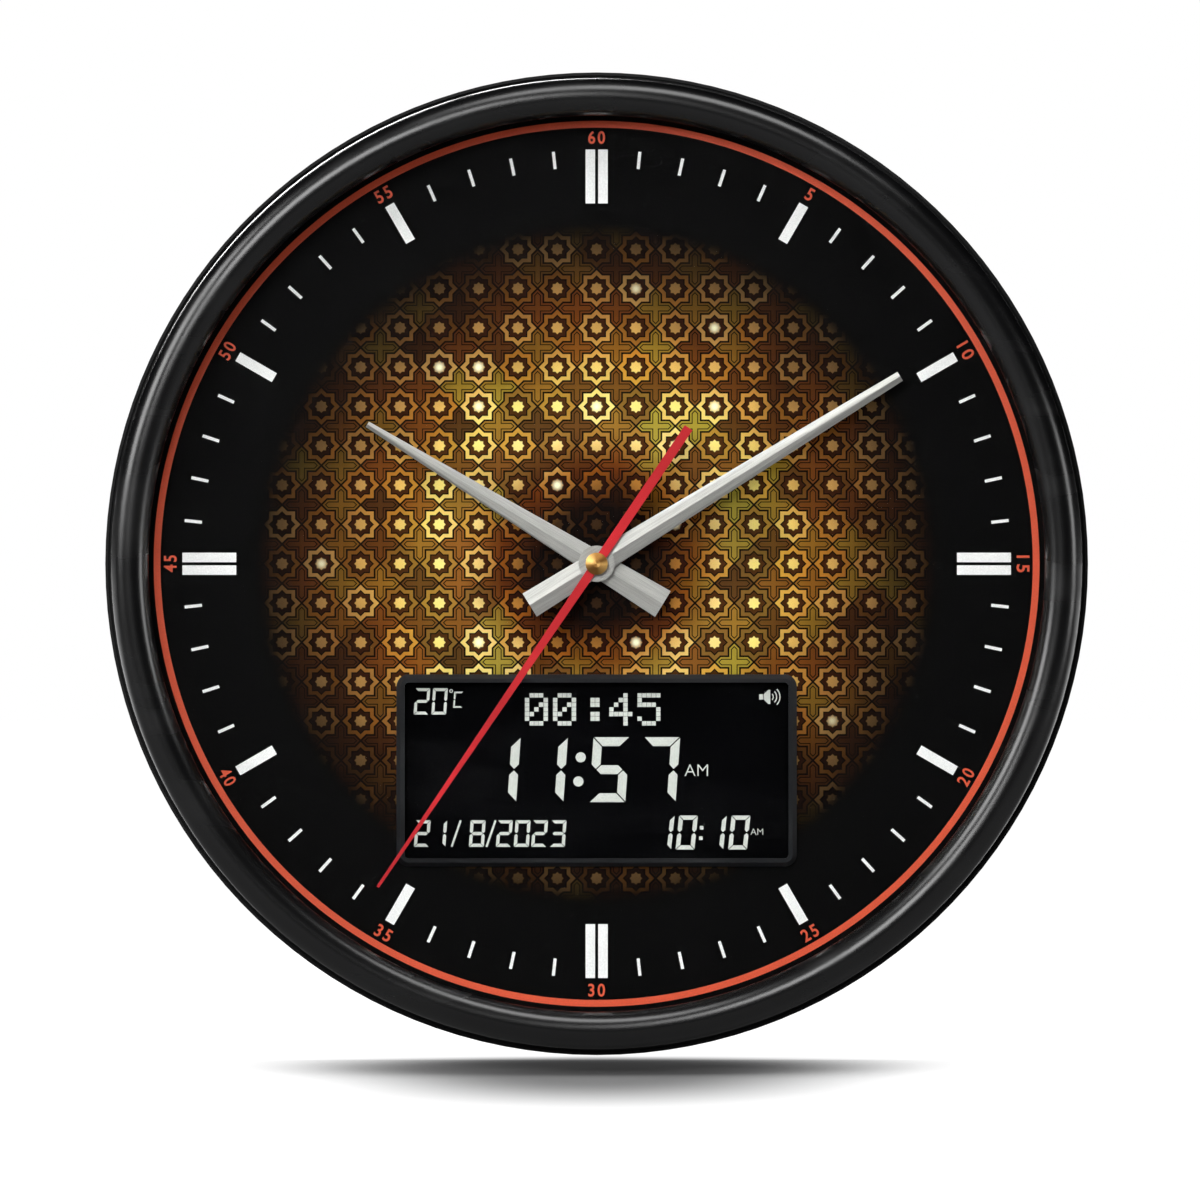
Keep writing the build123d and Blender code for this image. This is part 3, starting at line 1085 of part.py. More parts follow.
def lcd_glass():
    """The liquid-crystal glass: a full front sheet and a back sheet that bares the contact edges."""
    middle = GLASS_BACK + GLASS_THICKNESS / 2
    front = block(SCREEN_WIDTH, SCREEN_HEIGHT, middle, WINDOW_BACK, 0, DISPLAY_MIDDLE)
    return front + block(SCREEN_WIDTH, SCREEN_HEIGHT - 2 * GLASS_STEP, GLASS_BACK, middle, 0, DISPLAY_MIDDLE)


def light_panel():
    """The backlight behind the glass."""
    return block(SCREEN_WIDTH, SCREEN_HEIGHT - 2 * GLASS_STEP, MAIN_BOARD_FACE, GLASS_BACK, 0, DISPLAY_MIDDLE)


def elastomer_connectors():
    """The two rubber contact strips between the glass and the main board."""
    middle = GLASS_BACK + GLASS_THICKNESS / 2
    offset = SCREEN_HEIGHT / 2 - CONNECTOR_INSET - CONNECTOR_WIDTH / 2
    return group([block(SCREEN_WIDTH - 2 * GLASS_STEP, CONNECTOR_WIDTH, MAIN_BOARD_FACE, middle, 0,
                        DISPLAY_MIDDLE + side * offset) for side in (-1, 1)])


def main_board():
    """The display's circuit board."""
    outline = Pos(0, DISPLAY_MIDDLE) * RectangleRounded(MAIN_BOARD_WIDTH, MAIN_BOARD_HEIGHT, BOARD_CORNER)
    for x, z in board_screw_places():
        outline -= Pos(x, z) * Circle(INNER_SCREW_RADIUS + SCREW_HOLE_GAP)
    return sheet(outline, MAIN_BOARD_BACK, MAIN_BOARD_FACE)


def board_chips():
    """The processor, the sound memory and the amplifier, on the board's back."""
    return group([block(width, height, MAIN_BOARD_BACK - thickness, MAIN_BOARD_BACK, x, DISPLAY_MIDDLE + z)
                  for x, z, width, height, thickness in CHIPS])


def board_capacitors():
    """The upright capacitors on the board's back."""
    low = MAIN_BOARD_BACK - CAPACITOR_HEIGHT
    return group([disc(CAPACITOR_RADIUS, low, MAIN_BOARD_BACK, x, DISPLAY_MIDDLE + z) for x, z in CAPACITORS])


def temperature_sensor():
    """The small sensor at the edge of the main board."""
    x = -MAIN_BOARD_WIDTH / 2 + SENSOR_INSET
    sensor = disc(SENSOR_WIDTH / 2, MAIN_BOARD_BACK - SENSOR_HEIGHT, MAIN_BOARD_BACK, x, DISPLAY_MIDDLE)
    cut = block(SENSOR_WIDTH, SENSOR_WIDTH, MAIN_BOARD_BACK - SENSOR_HEIGHT, MAIN_BOARD_BACK,
                x - SENSOR_FLAT - SENSOR_WIDTH / 2, DISPLAY_MIDDLE)
    return sensor - cut


# ---------------------------------------------------------------- speaker
def speaker_frame():
    """The speaker's pressed-steel basket, with its ears."""
    flange = disc(SPEAKER_RADIUS, SPEAKER_SEAT_FACE, SPEAKER_FLANGE_FACE, 0, SPEAKER_HEIGHT)
    for x, z in speaker_screw_places():
        flange += disc(SPEAKER_EAR_RADIUS, SPEAKER_SEAT_FACE, SPEAKER_FLANGE_FACE, x, z)
    for x, z in speaker_screw_places():
        flange -= disc(INNER_SCREW_RADIUS + SCREW_HOLE_GAP, SPEAKER_SEAT_FACE, SPEAKER_FLANGE_FACE, x, z)
    wide = CONE_EDGE + SPEAKER_BASKET_WALL
    basket = Polygon((0, SPEAKER_FLANGE_FACE), (wide, SPEAKER_FLANGE_FACE),
                     (MAGNET_CAN_RADIUS + SPEAKER_BASKET_WALL, BASKET_FACE), (0, BASKET_FACE), align=None)
    hollow = Polygon((0, SPEAKER_SEAT_FACE), (CONE_EDGE, SPEAKER_SEAT_FACE),
                     (CONE_EDGE, SPEAKER_FLANGE_FACE),
                     (MAGNET_CAN_RADIUS, BASKET_FACE - SPEAKER_BASKET_WALL),
                     (0, BASKET_FACE - SPEAKER_BASKET_WALL), align=None)
    frame = flange + turned(basket, 0, SPEAKER_HEIGHT) - turned(hollow, 0, SPEAKER_HEIGHT)
    middle = (MAGNET_CAN_RADIUS + wide) / 2
    for x, z in around(SPEAKER_WINDOWS, middle, 90):
        low = SPEAKER_FLANGE_FACE + SPEAKER_BASKET_WALL
        high = BASKET_FACE - SPEAKER_BASKET_WALL
        frame -= disc(SPEAKER_WINDOW_RADIUS, low, high, x, z + SPEAKER_HEIGHT)
    return frame


def speaker_magnet():
    """The magnet on the basket, its middle standing in the voice coil's gap."""
    return disc(MAGNET_CAN_RADIUS, BASKET_FACE, BASKET_FACE + MAGNET_CAN_DEPTH, 0, SPEAKER_HEIGHT)


def speaker_cone():
    """The paper cone with its dust cap, glued to the flange."""
    low = SPEAKER_SEAT_FACE
    high = low + CONE_DEPTH
    profile = Polygon((CONE_EDGE, low), (CONE_EDGE, low + CONE_THICKNESS),
                      (CONE_EDGE - CONE_RIM, low + CONE_THICKNESS), (CONE_THROAT, high), (0, high),
                      (0, high - CONE_THICKNESS), (CONE_THROAT - CONE_THICKNESS, high - CONE_THICKNESS),
                      (CONE_EDGE - CONE_RIM, low), align=None)
    return turned(profile, 0, SPEAKER_HEIGHT)


# ---------------------------------------------------------------- buttons
def push_button(index):
    """One button with its collar behind the panel."""
    x = button_x(index)
    cap_back = PANEL_BACK - BUTTON_PROUD
    cap = disc(BUTTON_RADIUS, cap_back, BUTTON_FLANGE_BACK, x, BUTTON_ROW)
    cap = chamfer(cap.faces().sort_by(Axis.Y)[-1].edges(), BUTTON_EDGE)
    return cap + disc(BUTTON_RADIUS + BUTTON_FLANGE, BUTTON_FLANGE_BACK, BUTTON_FACE, x, BUTTON_ROW)


def key_mat():
    """The silicone mat whose domes push the buttons back."""
    width = (BUTTON_COUNT - 1) * BUTTON_PITCH + 2 * (DOME_BASE_RADIUS + MAT_MARGIN)
    height = 2 * (DOME_BASE_RADIUS + MAT_MARGIN)
    mat = block(width, height, MAT_BACK, KEY_BOARD_BACK, 0, BUTTON_ROW)
    dome = Polygon((0, BUTTON_FACE), (DOME_TOP_RADIUS, BUTTON_FACE), (DOME_BASE_RADIUS, MAT_BACK),
                   (0, MAT_BACK), align=None)
    for index in range(BUTTON_COUNT):
        mat += turned(dome, button_x(index), BUTTON_ROW)
    return mat


def key_board():
    """The small board under the buttons."""
    outline = Pos(0, BUTTON_ROW) * RectangleRounded(key_board_width(), KEY_BOARD_HEIGHT, BOARD_CORNER)
    for x, z in key_screw_places():
        outline -= Pos(x, z) * Circle(INNER_SCREW_RADIUS + SCREW_HOLE_GAP)
    return sheet(outline, KEY_BOARD_BACK, KEY_BOARD_FACE)


# ---------------------------------------------------------------- batteries
def cell_x(side):
    """The two batteries lie side by side; side is -1 or 1."""
    return POCKET_X + side * (CELL_RADIUS + CELL_GAP / 2)


def pocket_end(side):
    """The pocket's lower or upper end face; side is -1 or 1."""
    return POCKET_Z + side * POCKET_LENGTH / 2


def spring_plane(side):
    """Each battery's spring stands on its own end's contact plate."""
    z = pocket_end(side) - side * CONTACT_THICKNESS
    return Plane(origin=(cell_x(side), -CELL_DEPTH, z), z_dir=(0, 0, -side))


def batteries():
    """The two batteries, laid opposite ways."""
    cells = []
    for side in (-1, 1):
        z = pocket_end(side) - side * (CONTACT_THICKNESS + SPRING_LENGTH)
        cells.append(cell(Plane(origin=(cell_x(side), -CELL_DEPTH, z), z_dir=(0, 0, -side))))
    return group(cells)


def battery_springs():
    """One spring at the flat end of each battery."""
    return group([coil_spring(spring_plane(side)) for side in (-1, 1)])


def battery_contacts():
    """A plate at each end of each battery; the upper pair is bridged into one."""
    low, high = CELL_DEPTH - CELL_RADIUS / 2, POCKET_FLOOR
    width = 2 * (CELL_RADIUS - CONTACT_MARGIN)
    upper = pocket_end(1) - CONTACT_THICKNESS / 2
    lower = pocket_end(-1) + CONTACT_THICKNESS / 2
    bridge = block(POCKET_WIDTH - 2 * CELL_GAP, CONTACT_THICKNESS, low, high, POCKET_X, upper)
    return group([bridge] + [block(width, CONTACT_THICKNESS, low, high, cell_x(side), lower)
                             for side in (-1, 1)])


def lead(*corners):
    """A wire along a route of x, depth and z corners with rounded bends."""
    route = FilletPolyline(*[(x, -depth, z) for x, depth, z in corners], radius=LEAD_BEND)
    return sweep(Plane(origin=route @ 0, z_dir=route % 0) * Circle(LEAD_RADIUS), path=route)


def lead_landing():
    """The height at which the leads meet the main board's back."""
    return DISPLAY_MIDDLE + MAIN_BOARD_HEIGHT / 2 - LEAD_LANDING


def battery_leads():
    """The two wires from the battery pocket to the main board."""
    top = pocket_end(-1) - POCKET_WALL
    places = [BATTERY_LEAD_X + side * LEAD_PITCH / 2 for side in (-1, 1)]
    return group([lead((x, LEAD_DEPTH, top), (x, LEAD_DEPTH, lead_landing()),
                       (x, MAIN_BOARD_BACK, lead_landing())) for x in places])


def speaker_leads():
    """The two wires from the speaker's flange to the main board."""
    start_x = -(SPEAKER_RADIUS + CONE_EDGE + SPEAKER_BASKET_WALL) / 2
    wires = []
    for side in (-1, 1):
        x = SPEAKER_LEAD_X - side * LEAD_PITCH / 2
        z = SPEAKER_HEIGHT + side * LEAD_PITCH / 2
        wires.append(lead((start_x, SPEAKER_FLANGE_FACE, z), (start_x, LEAD_DEPTH, z), (x, LEAD_DEPTH, z),
                          (x, LEAD_DEPTH, lead_landing()), (x, MAIN_BOARD_BACK, lead_landing())))
    return group(wires)


def battery_door():
    """The sliding door over the batteries, with side tongues and finger grooves."""
    door = block(DOOR_WIDTH, DOOR_LENGTH, DOOR_BACK, PANEL_BACK - SLIP, POCKET_X, POCKET_Z)
    tongue_low = DOOR_BACK + DOOR_THICKNESS / 2
    width = DOOR_WIDTH + 2 * DOOR_TONGUE
    door += block(width, DOOR_LENGTH, tongue_low, PANEL_BACK - SLIP, POCKET_X, POCKET_Z)
    start = POCKET_Z - DOOR_LENGTH / 2 + 2 * DOOR_GRIP_PITCH
    for number in range(DOOR_GRIP_COUNT):
        door -= block(DOOR_WIDTH / 2, DOOR_GRIP_WIDTH, DOOR_BACK, DOOR_BACK + DOOR_GRIP_DEPTH, POCKET_X,
                      start + number * DOOR_GRIP_PITCH)
    return door


PIECES = {
    "front_bezel": front_bezel,
    "lens": lens,
    "rear_housing": rear_housing,
    "dial_plate": dial_plate,
    "housing_screws": housing_screws,
    "inner_screws": inner_screws,
    "hanger_plate": hanger_plate,
    "hanger_screws": hanger_screws,
    "display_trim": display_trim,
    "display_window": display_window,
    "lcd_glass": lcd_glass,
    "light_panel": light_panel,
    "elastomer_connectors": elastomer_connectors,
    "main_board": main_board,
    "board_chips": board_chips,
    "board_capacitors": board_capacitors,
    "temperature_sensor": temperature_sensor,
    "speaker_frame": speaker_frame,
    "speaker_magnet": speaker_magnet,
    "speaker_cone": speaker_cone,
    "key_mat": key_mat,
    "key_board": key_board,
    "battery_door": battery_door,
    "batteries": batteries,
    "battery_springs": battery_springs,
    "battery_contacts": battery_contacts,
    "battery_leads": battery_leads,
    "speaker_leads": speaker_leads,
    "movement_front_case": movement_front_case,
    "movement_rear_case": movement_rear_case,
    "train_bridge": train_bridge,
    "stator": stator,
    "coil_core": coil_core,
    "coil_bobbin": coil_bobbin,
    "coil_winding": coil_winding,
    "rotor": rotor,
    "intermediate_wheel": intermediate_wheel,
    "second_wheel": second_wheel,
    "third_wheel": third_wheel,
    "centre_wheel": centre_wheel,
    "minute_arbor": minute_arbor,
    "minute_wheel": minute_wheel,
    "hour_wheel": hour_wheel,
    "setting_knob": setting_knob,
    "timer_board": timer_board,
    "quartz_crystal": quartz_crystal,
    "movement_battery": movement_battery,
    "movement_contacts": movement_contacts,
    "bush_washer": bush_washer,
    "bush_nut": bush_nut,
    "hour_hand": hour_hand,
    "minute_hand": minute_hand,
    "second_hand": second_hand,
    "hand_cap": hand_cap,
}

os.makedirs("parts", exist_ok=True)
for name, make in PIECES.items():
    export_step(make(), f"parts/{name}.step")
for index, name in enumerate(BUTTON_NAMES):
    export_step(push_button(index), f"parts/{name}_button.step")
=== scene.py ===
"""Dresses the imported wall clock: dial print, display, hands, case and a plain studio."""

from __future__ import annotations

import logging
import math
from contextlib import contextmanager
from dataclasses import dataclass
from enum import Enum
from typing import Callable, Iterator, Optional, Sequence, Union

import bmesh
import bpy
from mathutils import Matrix, Vector


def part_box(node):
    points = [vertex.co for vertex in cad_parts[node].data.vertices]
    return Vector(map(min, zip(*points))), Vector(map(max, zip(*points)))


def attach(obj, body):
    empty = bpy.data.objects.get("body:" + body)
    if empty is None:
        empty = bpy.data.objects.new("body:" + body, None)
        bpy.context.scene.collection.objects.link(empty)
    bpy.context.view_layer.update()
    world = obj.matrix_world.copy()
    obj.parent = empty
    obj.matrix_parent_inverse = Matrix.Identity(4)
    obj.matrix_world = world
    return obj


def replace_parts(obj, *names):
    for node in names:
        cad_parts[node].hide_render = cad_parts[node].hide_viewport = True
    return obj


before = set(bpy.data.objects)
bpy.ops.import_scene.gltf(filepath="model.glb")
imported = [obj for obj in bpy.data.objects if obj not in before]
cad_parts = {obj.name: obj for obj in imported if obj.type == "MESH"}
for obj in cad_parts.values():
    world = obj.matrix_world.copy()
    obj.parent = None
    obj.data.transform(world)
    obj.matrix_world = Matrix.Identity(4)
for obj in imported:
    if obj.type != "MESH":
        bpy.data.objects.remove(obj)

MM = 0.001
CASE = "clock_case"
WINDOW_TINT = (0.97, 0.975, 0.98, 1.0)
WINDOW_IOR = 1.1
DIAL_FACE = 33.0
MITRE = 1.4
BLACK, WHITE = (0.0, 0.0, 0.0, 1.0), (1.0, 1.0, 1.0, 1.0)

Colour = tuple[float, float, float, float]
Piece = bpy.types.Object
Node = bpy.types.Node
Socket = bpy.types.NodeSocket
Sockets = dict[str, Socket]
Feed = Union[float, Sequence[float], Socket, None]

log = logging.getLogger("clock")
MADE: dict[str, bpy.types.Material] = {}


def ink(red: int, green: int, blue: int) -> Colour:
    """Returns a screen colour, each part from 0 to 255, as the linear colour that shaders take."""
    parts = [value / 255 for value in (red, green, blue)]
    linear = [p / 12.92 if p <= 0.04045 else ((p + 0.055) / 1.055) ** 2.4 for p in parts]
    return (linear[0], linear[1], linear[2], 1.0)


def shaded(colour: Colour, share: float, lift: float = 0.0) -> Colour:
    """Returns a colour made lighter or darker by a share, and then lifted."""
    red, green, blue = (min(1.0, part * share + lift) for part in colour[:3])
    return (red, green, blue, 1.0)


# ------------------------------------------------------------------ modelling
class Bench:
    """The modelling bench: primitives, edit-mode tools and copies, all sizes in millimetres."""

    @staticmethod
    def take(piece: Piece) -> None:
        """Makes one piece the only selected and active one."""
        bpy.ops.object.select_all(action="DESELECT")
        piece.select_set(True)
        bpy.context.view_layer.objects.active = piece

    @staticmethod
    def settle(piece: Piece) -> Piece:
        """Puts the piece's place into its mesh, so that its object sits at the origin."""
        Bench.take(piece)
        bpy.ops.object.transform_apply(location=True, rotation=True, scale=True)
        return piece

    @staticmethod
    def named(name: str) -> Piece:
        """Settles the piece that was just added and names it."""
        piece = Bench.settle(bpy.context.active_object)
        piece.name = name
        return piece

    @staticmethod
    @contextmanager
    def editing(piece: Piece) -> Iterator[None]:
        """Opens edit mode on one piece with nothing selected, and leaves it again."""
        Bench.take(piece)
        bpy.context.tool_settings.mesh_select_mode = (True, True, True)
        bpy.ops.object.mode_set(mode="EDIT")
        bpy.ops.mesh.select_all(action="DESELECT")
        yield
        bpy.ops.object.mode_set(mode="OBJECT")

    @staticmethod
    def pick_edges(piece: Piece, wanted: Callable[[Vector, Vector], bool]) -> None:
        """Selects the edges that a test accepts.

        Args:
            piece: The piece in edit mode.
            wanted: A test on the two ends of an edge.
        """
        work = bmesh.from_edit_mesh(piece.data)
        for edge in work.edges:
            edge.select_set(wanted(edge.verts[0].co, edge.verts[1].co))
        bmesh.update_edit_mesh(piece.data)

    @staticmethod
    def outward(piece: Piece) -> Piece:
        """Merges the piece's doubles and turns its faces outwards."""
        with Bench.editing(piece):
            bpy.ops.mesh.select_all(action="SELECT")
            bpy.ops.mesh.remove_doubles(threshold=1e-7)
            bpy.ops.mesh.normals_make_consistent(inside=False)
        return piece

    @staticmethod
    def disc(name: str, radius: float, sides: int, place: tuple[float, float, float]) -> Piece:
        """Models a flat upright disc at a place: across, out from the wall, and up."""
        bpy.ops.object.select_all(action="DESELECT")
        bpy.ops.mesh.primitive_circle_add(
            vertices=sides, radius=radius * MM, fill_type="NGON", rotation=(math.pi / 2, 0, 0),
            location=(place[0] * MM, -place[1] * MM, place[2] * MM))
        return Bench.named(name)

    @staticmethod
    def washer(name: str, outer: float, inner: float, back: float, front: float,
               sides: int = 360) -> Piece:
        """Models a flat upright ring round the shaft's line.

        Args:
            name: The piece's name.
            outer: Its outer radius.
            inner: Its inner radius.
            back: The depth of its back, measured from the wall.
            front: The depth of its front.
            sides: How many sides its circle has.

        Returns:
            The ring.
        """
        piece = Bench.disc(name, outer, sides, (0, back, 0))
        with Bench.editing(piece):
            bpy.ops.mesh.select_all(action="SELECT")
            bpy.ops.mesh.inset(thickness=(outer - inner) * MM)
            bpy.ops.mesh.delete(type="FACE")
            bpy.ops.mesh.select_all(action="SELECT")
            bpy.ops.mesh.extrude_region_move(
                TRANSFORM_OT_translate={"value": (0, -(front - back) * MM, 0)})
        return Bench.outward(piece)

    @staticmethod
    def bar(name: str, width: float, height: float, thickness: float, corner: float) -> Piece:
        """Models an upright bar with rounded corners, centred, with its back on the XZ plane.

        Args:
            name: The piece's name.
            width: Its size along X.
            height: Its size along Z.
            thickness: Its size along Y, towards the viewer.
            corner: The radius of its corners as the viewer sees them.

        Returns:
            The bar.
        """
        bpy.ops.object.select_all(action="DESELECT")
        bpy.ops.mesh.primitive_cube_add(size=1, location=(0, -thickness / 2 * MM, 0),
                                        scale=(width * MM, thickness * MM, height * MM))
        piece = Bench.named(name)
        if corner > 0:
            with Bench.editing(piece):
                Bench.pick_edges(piece, lambda a, b: abs(a.y - b.y) > 1e-7)
                bpy.ops.mesh.bevel(offset=corner * MM, segments=3, affect="EDGES")
        return piece

    @staticmethod
    def cut(piece: Piece, point: tuple[float, float], away: tuple[float, float]) -> None:
        """Cuts a piece along a line as the viewer sees it and drops what lies beyond.

        Args:
            piece: The piece to cut.
            point: A point of the line, across and up.
            away: The direction of the side that goes.
        """
        with Bench.editing(piece):
            bpy.ops.mesh.select_all(action="SELECT")
            bpy.ops.mesh.bisect(plane_co=(point[0] * MM, 0, point[1] * MM),
                                plane_no=(away[0], 0, away[1]),
                                use_fill=True, clear_outer=True)

    @staticmethod
    def copies(name: str, pattern: Piece, places: Sequence[Matrix]) -> Piece:
        """Copies a pattern to many places, each with its own mesh, and joins the copies.

        Args:
            name: The joined piece's name.
            pattern: What is copied. It is removed once it has served.
            places: Where each copy goes.

        Returns:
            One piece made of all the copies.
        """
        made = []
        for place in places:
            copy = pattern.copy()
            copy.data = pattern.data.copy()
            copy.data.transform(place)
            bpy.context.scene.collection.objects.link(copy)
            made.append(copy)
        joined = Bench.join(name, made)
        Bench.drop(pattern)
        return joined

    @staticmethod
    def join(name: str, parts: Sequence[Piece]) -> Piece:
        """Joins several pieces into one of that name."""
        bpy.ops.object.select_all(action="DESELECT")
        for part in parts:
            part.select_set(True)
        bpy.context.view_layer.objects.active = parts[0]
        if len(parts) > 1:
            bpy.ops.object.join()
        joined = bpy.context.view_layer.objects.active
        joined.name = name
        return joined

    @staticmethod
    def words(name: str, body: str, height: float, thickness: float, weight: float = 0.0,
              spacing: float = 1.0) -> Piece:
        """Makes plain lettering that stands upright, centred on the origin and facing the viewer.

        Args:
            name: The piece's name.
            body: What it says.
            height: How high the lettering is.
            thickness: How thick it is.
            weight: How much bolder than the plain letter, as a share of its size.
            spacing: How far apart its letters stand, 1 as the plain lettering has it.

        Returns:
            The lettering as a mesh.
        """
        bpy.ops.object.select_all(action="DESELECT")
        bpy.ops.object.text_add(location=(0, 0, 0))
        text = bpy.context.active_object
        text.data.body = body
        text.data.offset = weight
        text.data.space_character = spacing
        text.data.extrude = 0.5
        text.data.resolution_u = 6
        bpy.ops.object.convert(target="MESH")
        piece = bpy.context.active_object
        piece.name = name
        points = [v.co for v in piece.data.vertices]
        low = Vector([min(p[i] for p in points) for i in range(3)])
        high = Vector([max(p[i] for p in points) for i in range(3)])
        scale = height * MM / (high.y - low.y)
        piece.data.transform(Matrix.Translation(-(low + high) / 2))
        piece.data.transform(Matrix.Diagonal((scale, scale, thickness * MM / (high.z - low.z), 1)))
        piece.data.transform(Matrix.Rotation(math.pi / 2, 4, "X"))
        piece.data.transform(Matrix.Translation((0, -thickness / 2 * MM, 0)))
        return Bench.outward(piece)

    @staticmethod
    def drop(pattern: Piece) -> None:
        """Removes a pattern that has served."""
        bpy.data.objects.remove(pattern)


def at(x: float, depth: float, z: float) -> Matrix:
    """Returns the move to a place, in millimetres: across, out from the wall, and up."""
    return Matrix.Translation((x * MM, -depth * MM, z * MM))


def round_shaft(degrees: float) -> Matrix:
    """Returns the turn by an angle clockwise from twelve, as the viewer sees it."""
    return Matrix.Rotation(math.radians(degrees), 4, "Y")


# ------------------------------------------------------------------ laying nodes
class Graph:
    """Lays and joins the nodes of one material or node group."""

    def __init__(self, tree: bpy.types.NodeTree) -> None:
        """Starts on an empty tree."""
        self.tree = tree
        tree.nodes.clear()

    def feed(self, socket: Socket, value: Feed) -> None:
        """Links a socket to another, or sets its value."""
        if isinstance(value, Socket):
            self.tree.links.new(value, socket)
        elif value is not None:
            socket.default_value = value

    def fill(self, node: Node, feeds: dict[Union[str, int], Feed]) -> None:
        """Feeds several inputs of a node, by name or number."""
        for key, value in feeds.items():
            self.feed(node.inputs[key], value)

    def add(self, kind: str, feeds: Optional[dict[Union[str, int], Feed]] = None,
            **settings: object) -> Node:
        """Adds a node.

        Args:
            kind: The node's type, without its ShaderNode prefix.
            feeds: What goes into its inputs, by name or number.
            settings: Its properties.

        Returns:
            The node.
        """
        made = self.tree.nodes.new("ShaderNode" + kind)
        for name, value in settings.items():
            setattr(made, name, value)
        self.fill(made, feeds or {})
        return made

    def calc(self, operation: str, a: Feed, b: Feed = None) -> Socket:
        """Returns the result of one Math node."""
        return self.add("Math", {0: a, 1: b}, operation=operation).outputs[0]

    def plus(self, a: Feed, b: Feed) -> Socket:
        """Returns a + b."""
        return self.calc("ADD", a, b)

    def minus(self, a: Feed, b: Feed) -> Socket:
        """Returns a - b."""
        return self.calc("SUBTRACT", a, b)

    def times(self, a: Feed, b: Feed) -> Socket:
        """Returns a * b."""
        return self.calc("MULTIPLY", a, b)

    def larger(self, a: Feed, b: Feed) -> Socket:
        """Returns the larger of a and b."""
        return self.calc("MAXIMUM", a, b)

    def beyond(self, a: Feed, b: Feed) -> Socket:
        """Returns 1 where a lies above b, and 0 elsewhere."""
        return self.calc("GREATER_THAN", a, b)

    def distance(self, value: Feed, point: float = 0.0) -> Socket:
        """Returns how far a value lies from a point, as a size without a sign."""
        return self.calc("ABSOLUTE", self.minus(value, point) if point else value)

    def length(self, a: Feed, b: Feed) -> Socket:
        """Returns the length of a flat vector from its two parts."""
        return self.calc("SQRT", self.plus(self.times(a, a), self.times(b, b)))

    def step(self, value: Feed, low: float, high: float, start: float = 0.0,
             end: float = 1.0) -> Socket:
        """Returns a smooth step from start to end as value goes from low to high."""
        return self.add("MapRange", {0: value, 1: low, 2: high, 3: start, 4: end},
                        interpolation_type="SMOOTHSTEP").outputs[0]

    def mix(self, share: Feed, a: Feed, b: Feed, way: str = "MIX") -> Socket:
        """Returns a colour mixed from a and b."""
        return self.add("Mix", {0: share, 6: a, 7: b}, data_type="RGBA", blend_type=way).outputs[2]

    def ramp(self, value: Feed, stops: Sequence[tuple[float, Colour]]) -> Socket:
        """Returns the colour of a ramp at a value.

        Args:
            value: Where to read the ramp, from 0 to 1.
            stops: Each stop's place and colour, in order.

        Returns:
            The colour.
        """
        made = self.add("ValToRGB", {0: value})
        elements = made.color_ramp.elements
        elements[0].position, elements[0].color = stops[0]
        elements[1].position, elements[1].color = stops[-1]
        for place, colour in stops[1:-1]:
            elements.new(place).color = colour
        return made.outputs[0]

    def place(self) -> Socket:
        """Returns the point on the piece, in metres."""
        return self.add("TexCoord").outputs["Object"]

    def parts(self, vector: Feed) -> list[Socket]:
        """Returns the X, Y and Z of a vector."""
        return list(self.add("SeparateXYZ", {0: vector}).outputs)

    def noise(self, vector: Feed, scale: Feed, detail: float = 3.0) -> Socket:
        """Returns a noise from 0 to 1."""
        return self.add("TexNoise", {"Vector": vector, "Scale": scale, "Detail": detail}).outputs[0]

    def bump(self, height: Feed, distance: float) -> Socket:
        """Returns the normal that a height gives, with distance in metres."""
        return self.add("Bump", {"Height": height, "Distance": distance,
                                 "Strength": 1.0}).outputs[0]


class Effect:
    """A node group that several finishes share. It is built once, when it is first placed.

    Attributes:
        name: The group's name.
        takes: Its inputs, each a number's first value or None for a vector.
        gives: Its outputs, all numbers.
    """

    name = ""
    takes: dict[str, Optional[float]] = {}
    gives: tuple[str, ...] = ()

    def lay(self, graph: Graph, given: Sockets) -> Sockets:
        """Lays the group's nodes.

        Args:
            graph: The group's tree.
            given: The group's inputs by name.

        Returns:
            What feeds each of the group's outputs.
        """
        raise NotImplementedError

    def tree(self) -> bpy.types.NodeTree:
        """Returns the group, made on the first call."""
        known = bpy.data.node_groups.get(self.name)
        if known is not None:
            return known
        made = bpy.data.node_groups.new(self.name, "ShaderNodeTree")
        for name, value in self.takes.items():
            kind = "NodeSocketVector" if value is None else "NodeSocketFloat"
            socket = made.interface.new_socket(name, in_out="INPUT", socket_type=kind)
            if value is not None:
                socket.default_value = value
        for name in self.gives:
            made.interface.new_socket(name, in_out="OUTPUT", socket_type="NodeSocketFloat")
        graph = Graph(made)
        start, end = made.nodes.new("NodeGroupInput"), made.nodes.new("NodeGroupOutput")
        results = self.lay(graph, {name: start.outputs[name] for name in self.takes})
        for name, socket in results.items():
            made.links.new(socket, end.inputs[name])
        return made

    def place(self, graph: Graph, **feeds: Feed) -> Sockets:
        """Places the group in a material.

        Args:
            graph: The material's graph.
            feeds: What goes into the group, by input name.

        Returns:
            The group's outputs by name.
        """
        made = graph.tree.nodes.new("ShaderNodeGroup")
        made.node_tree = self.tree()
        for name, value in feeds.items():
            graph.feed(made.inputs[name], value)
        return {name: made.outputs[name] for name in self.gives}


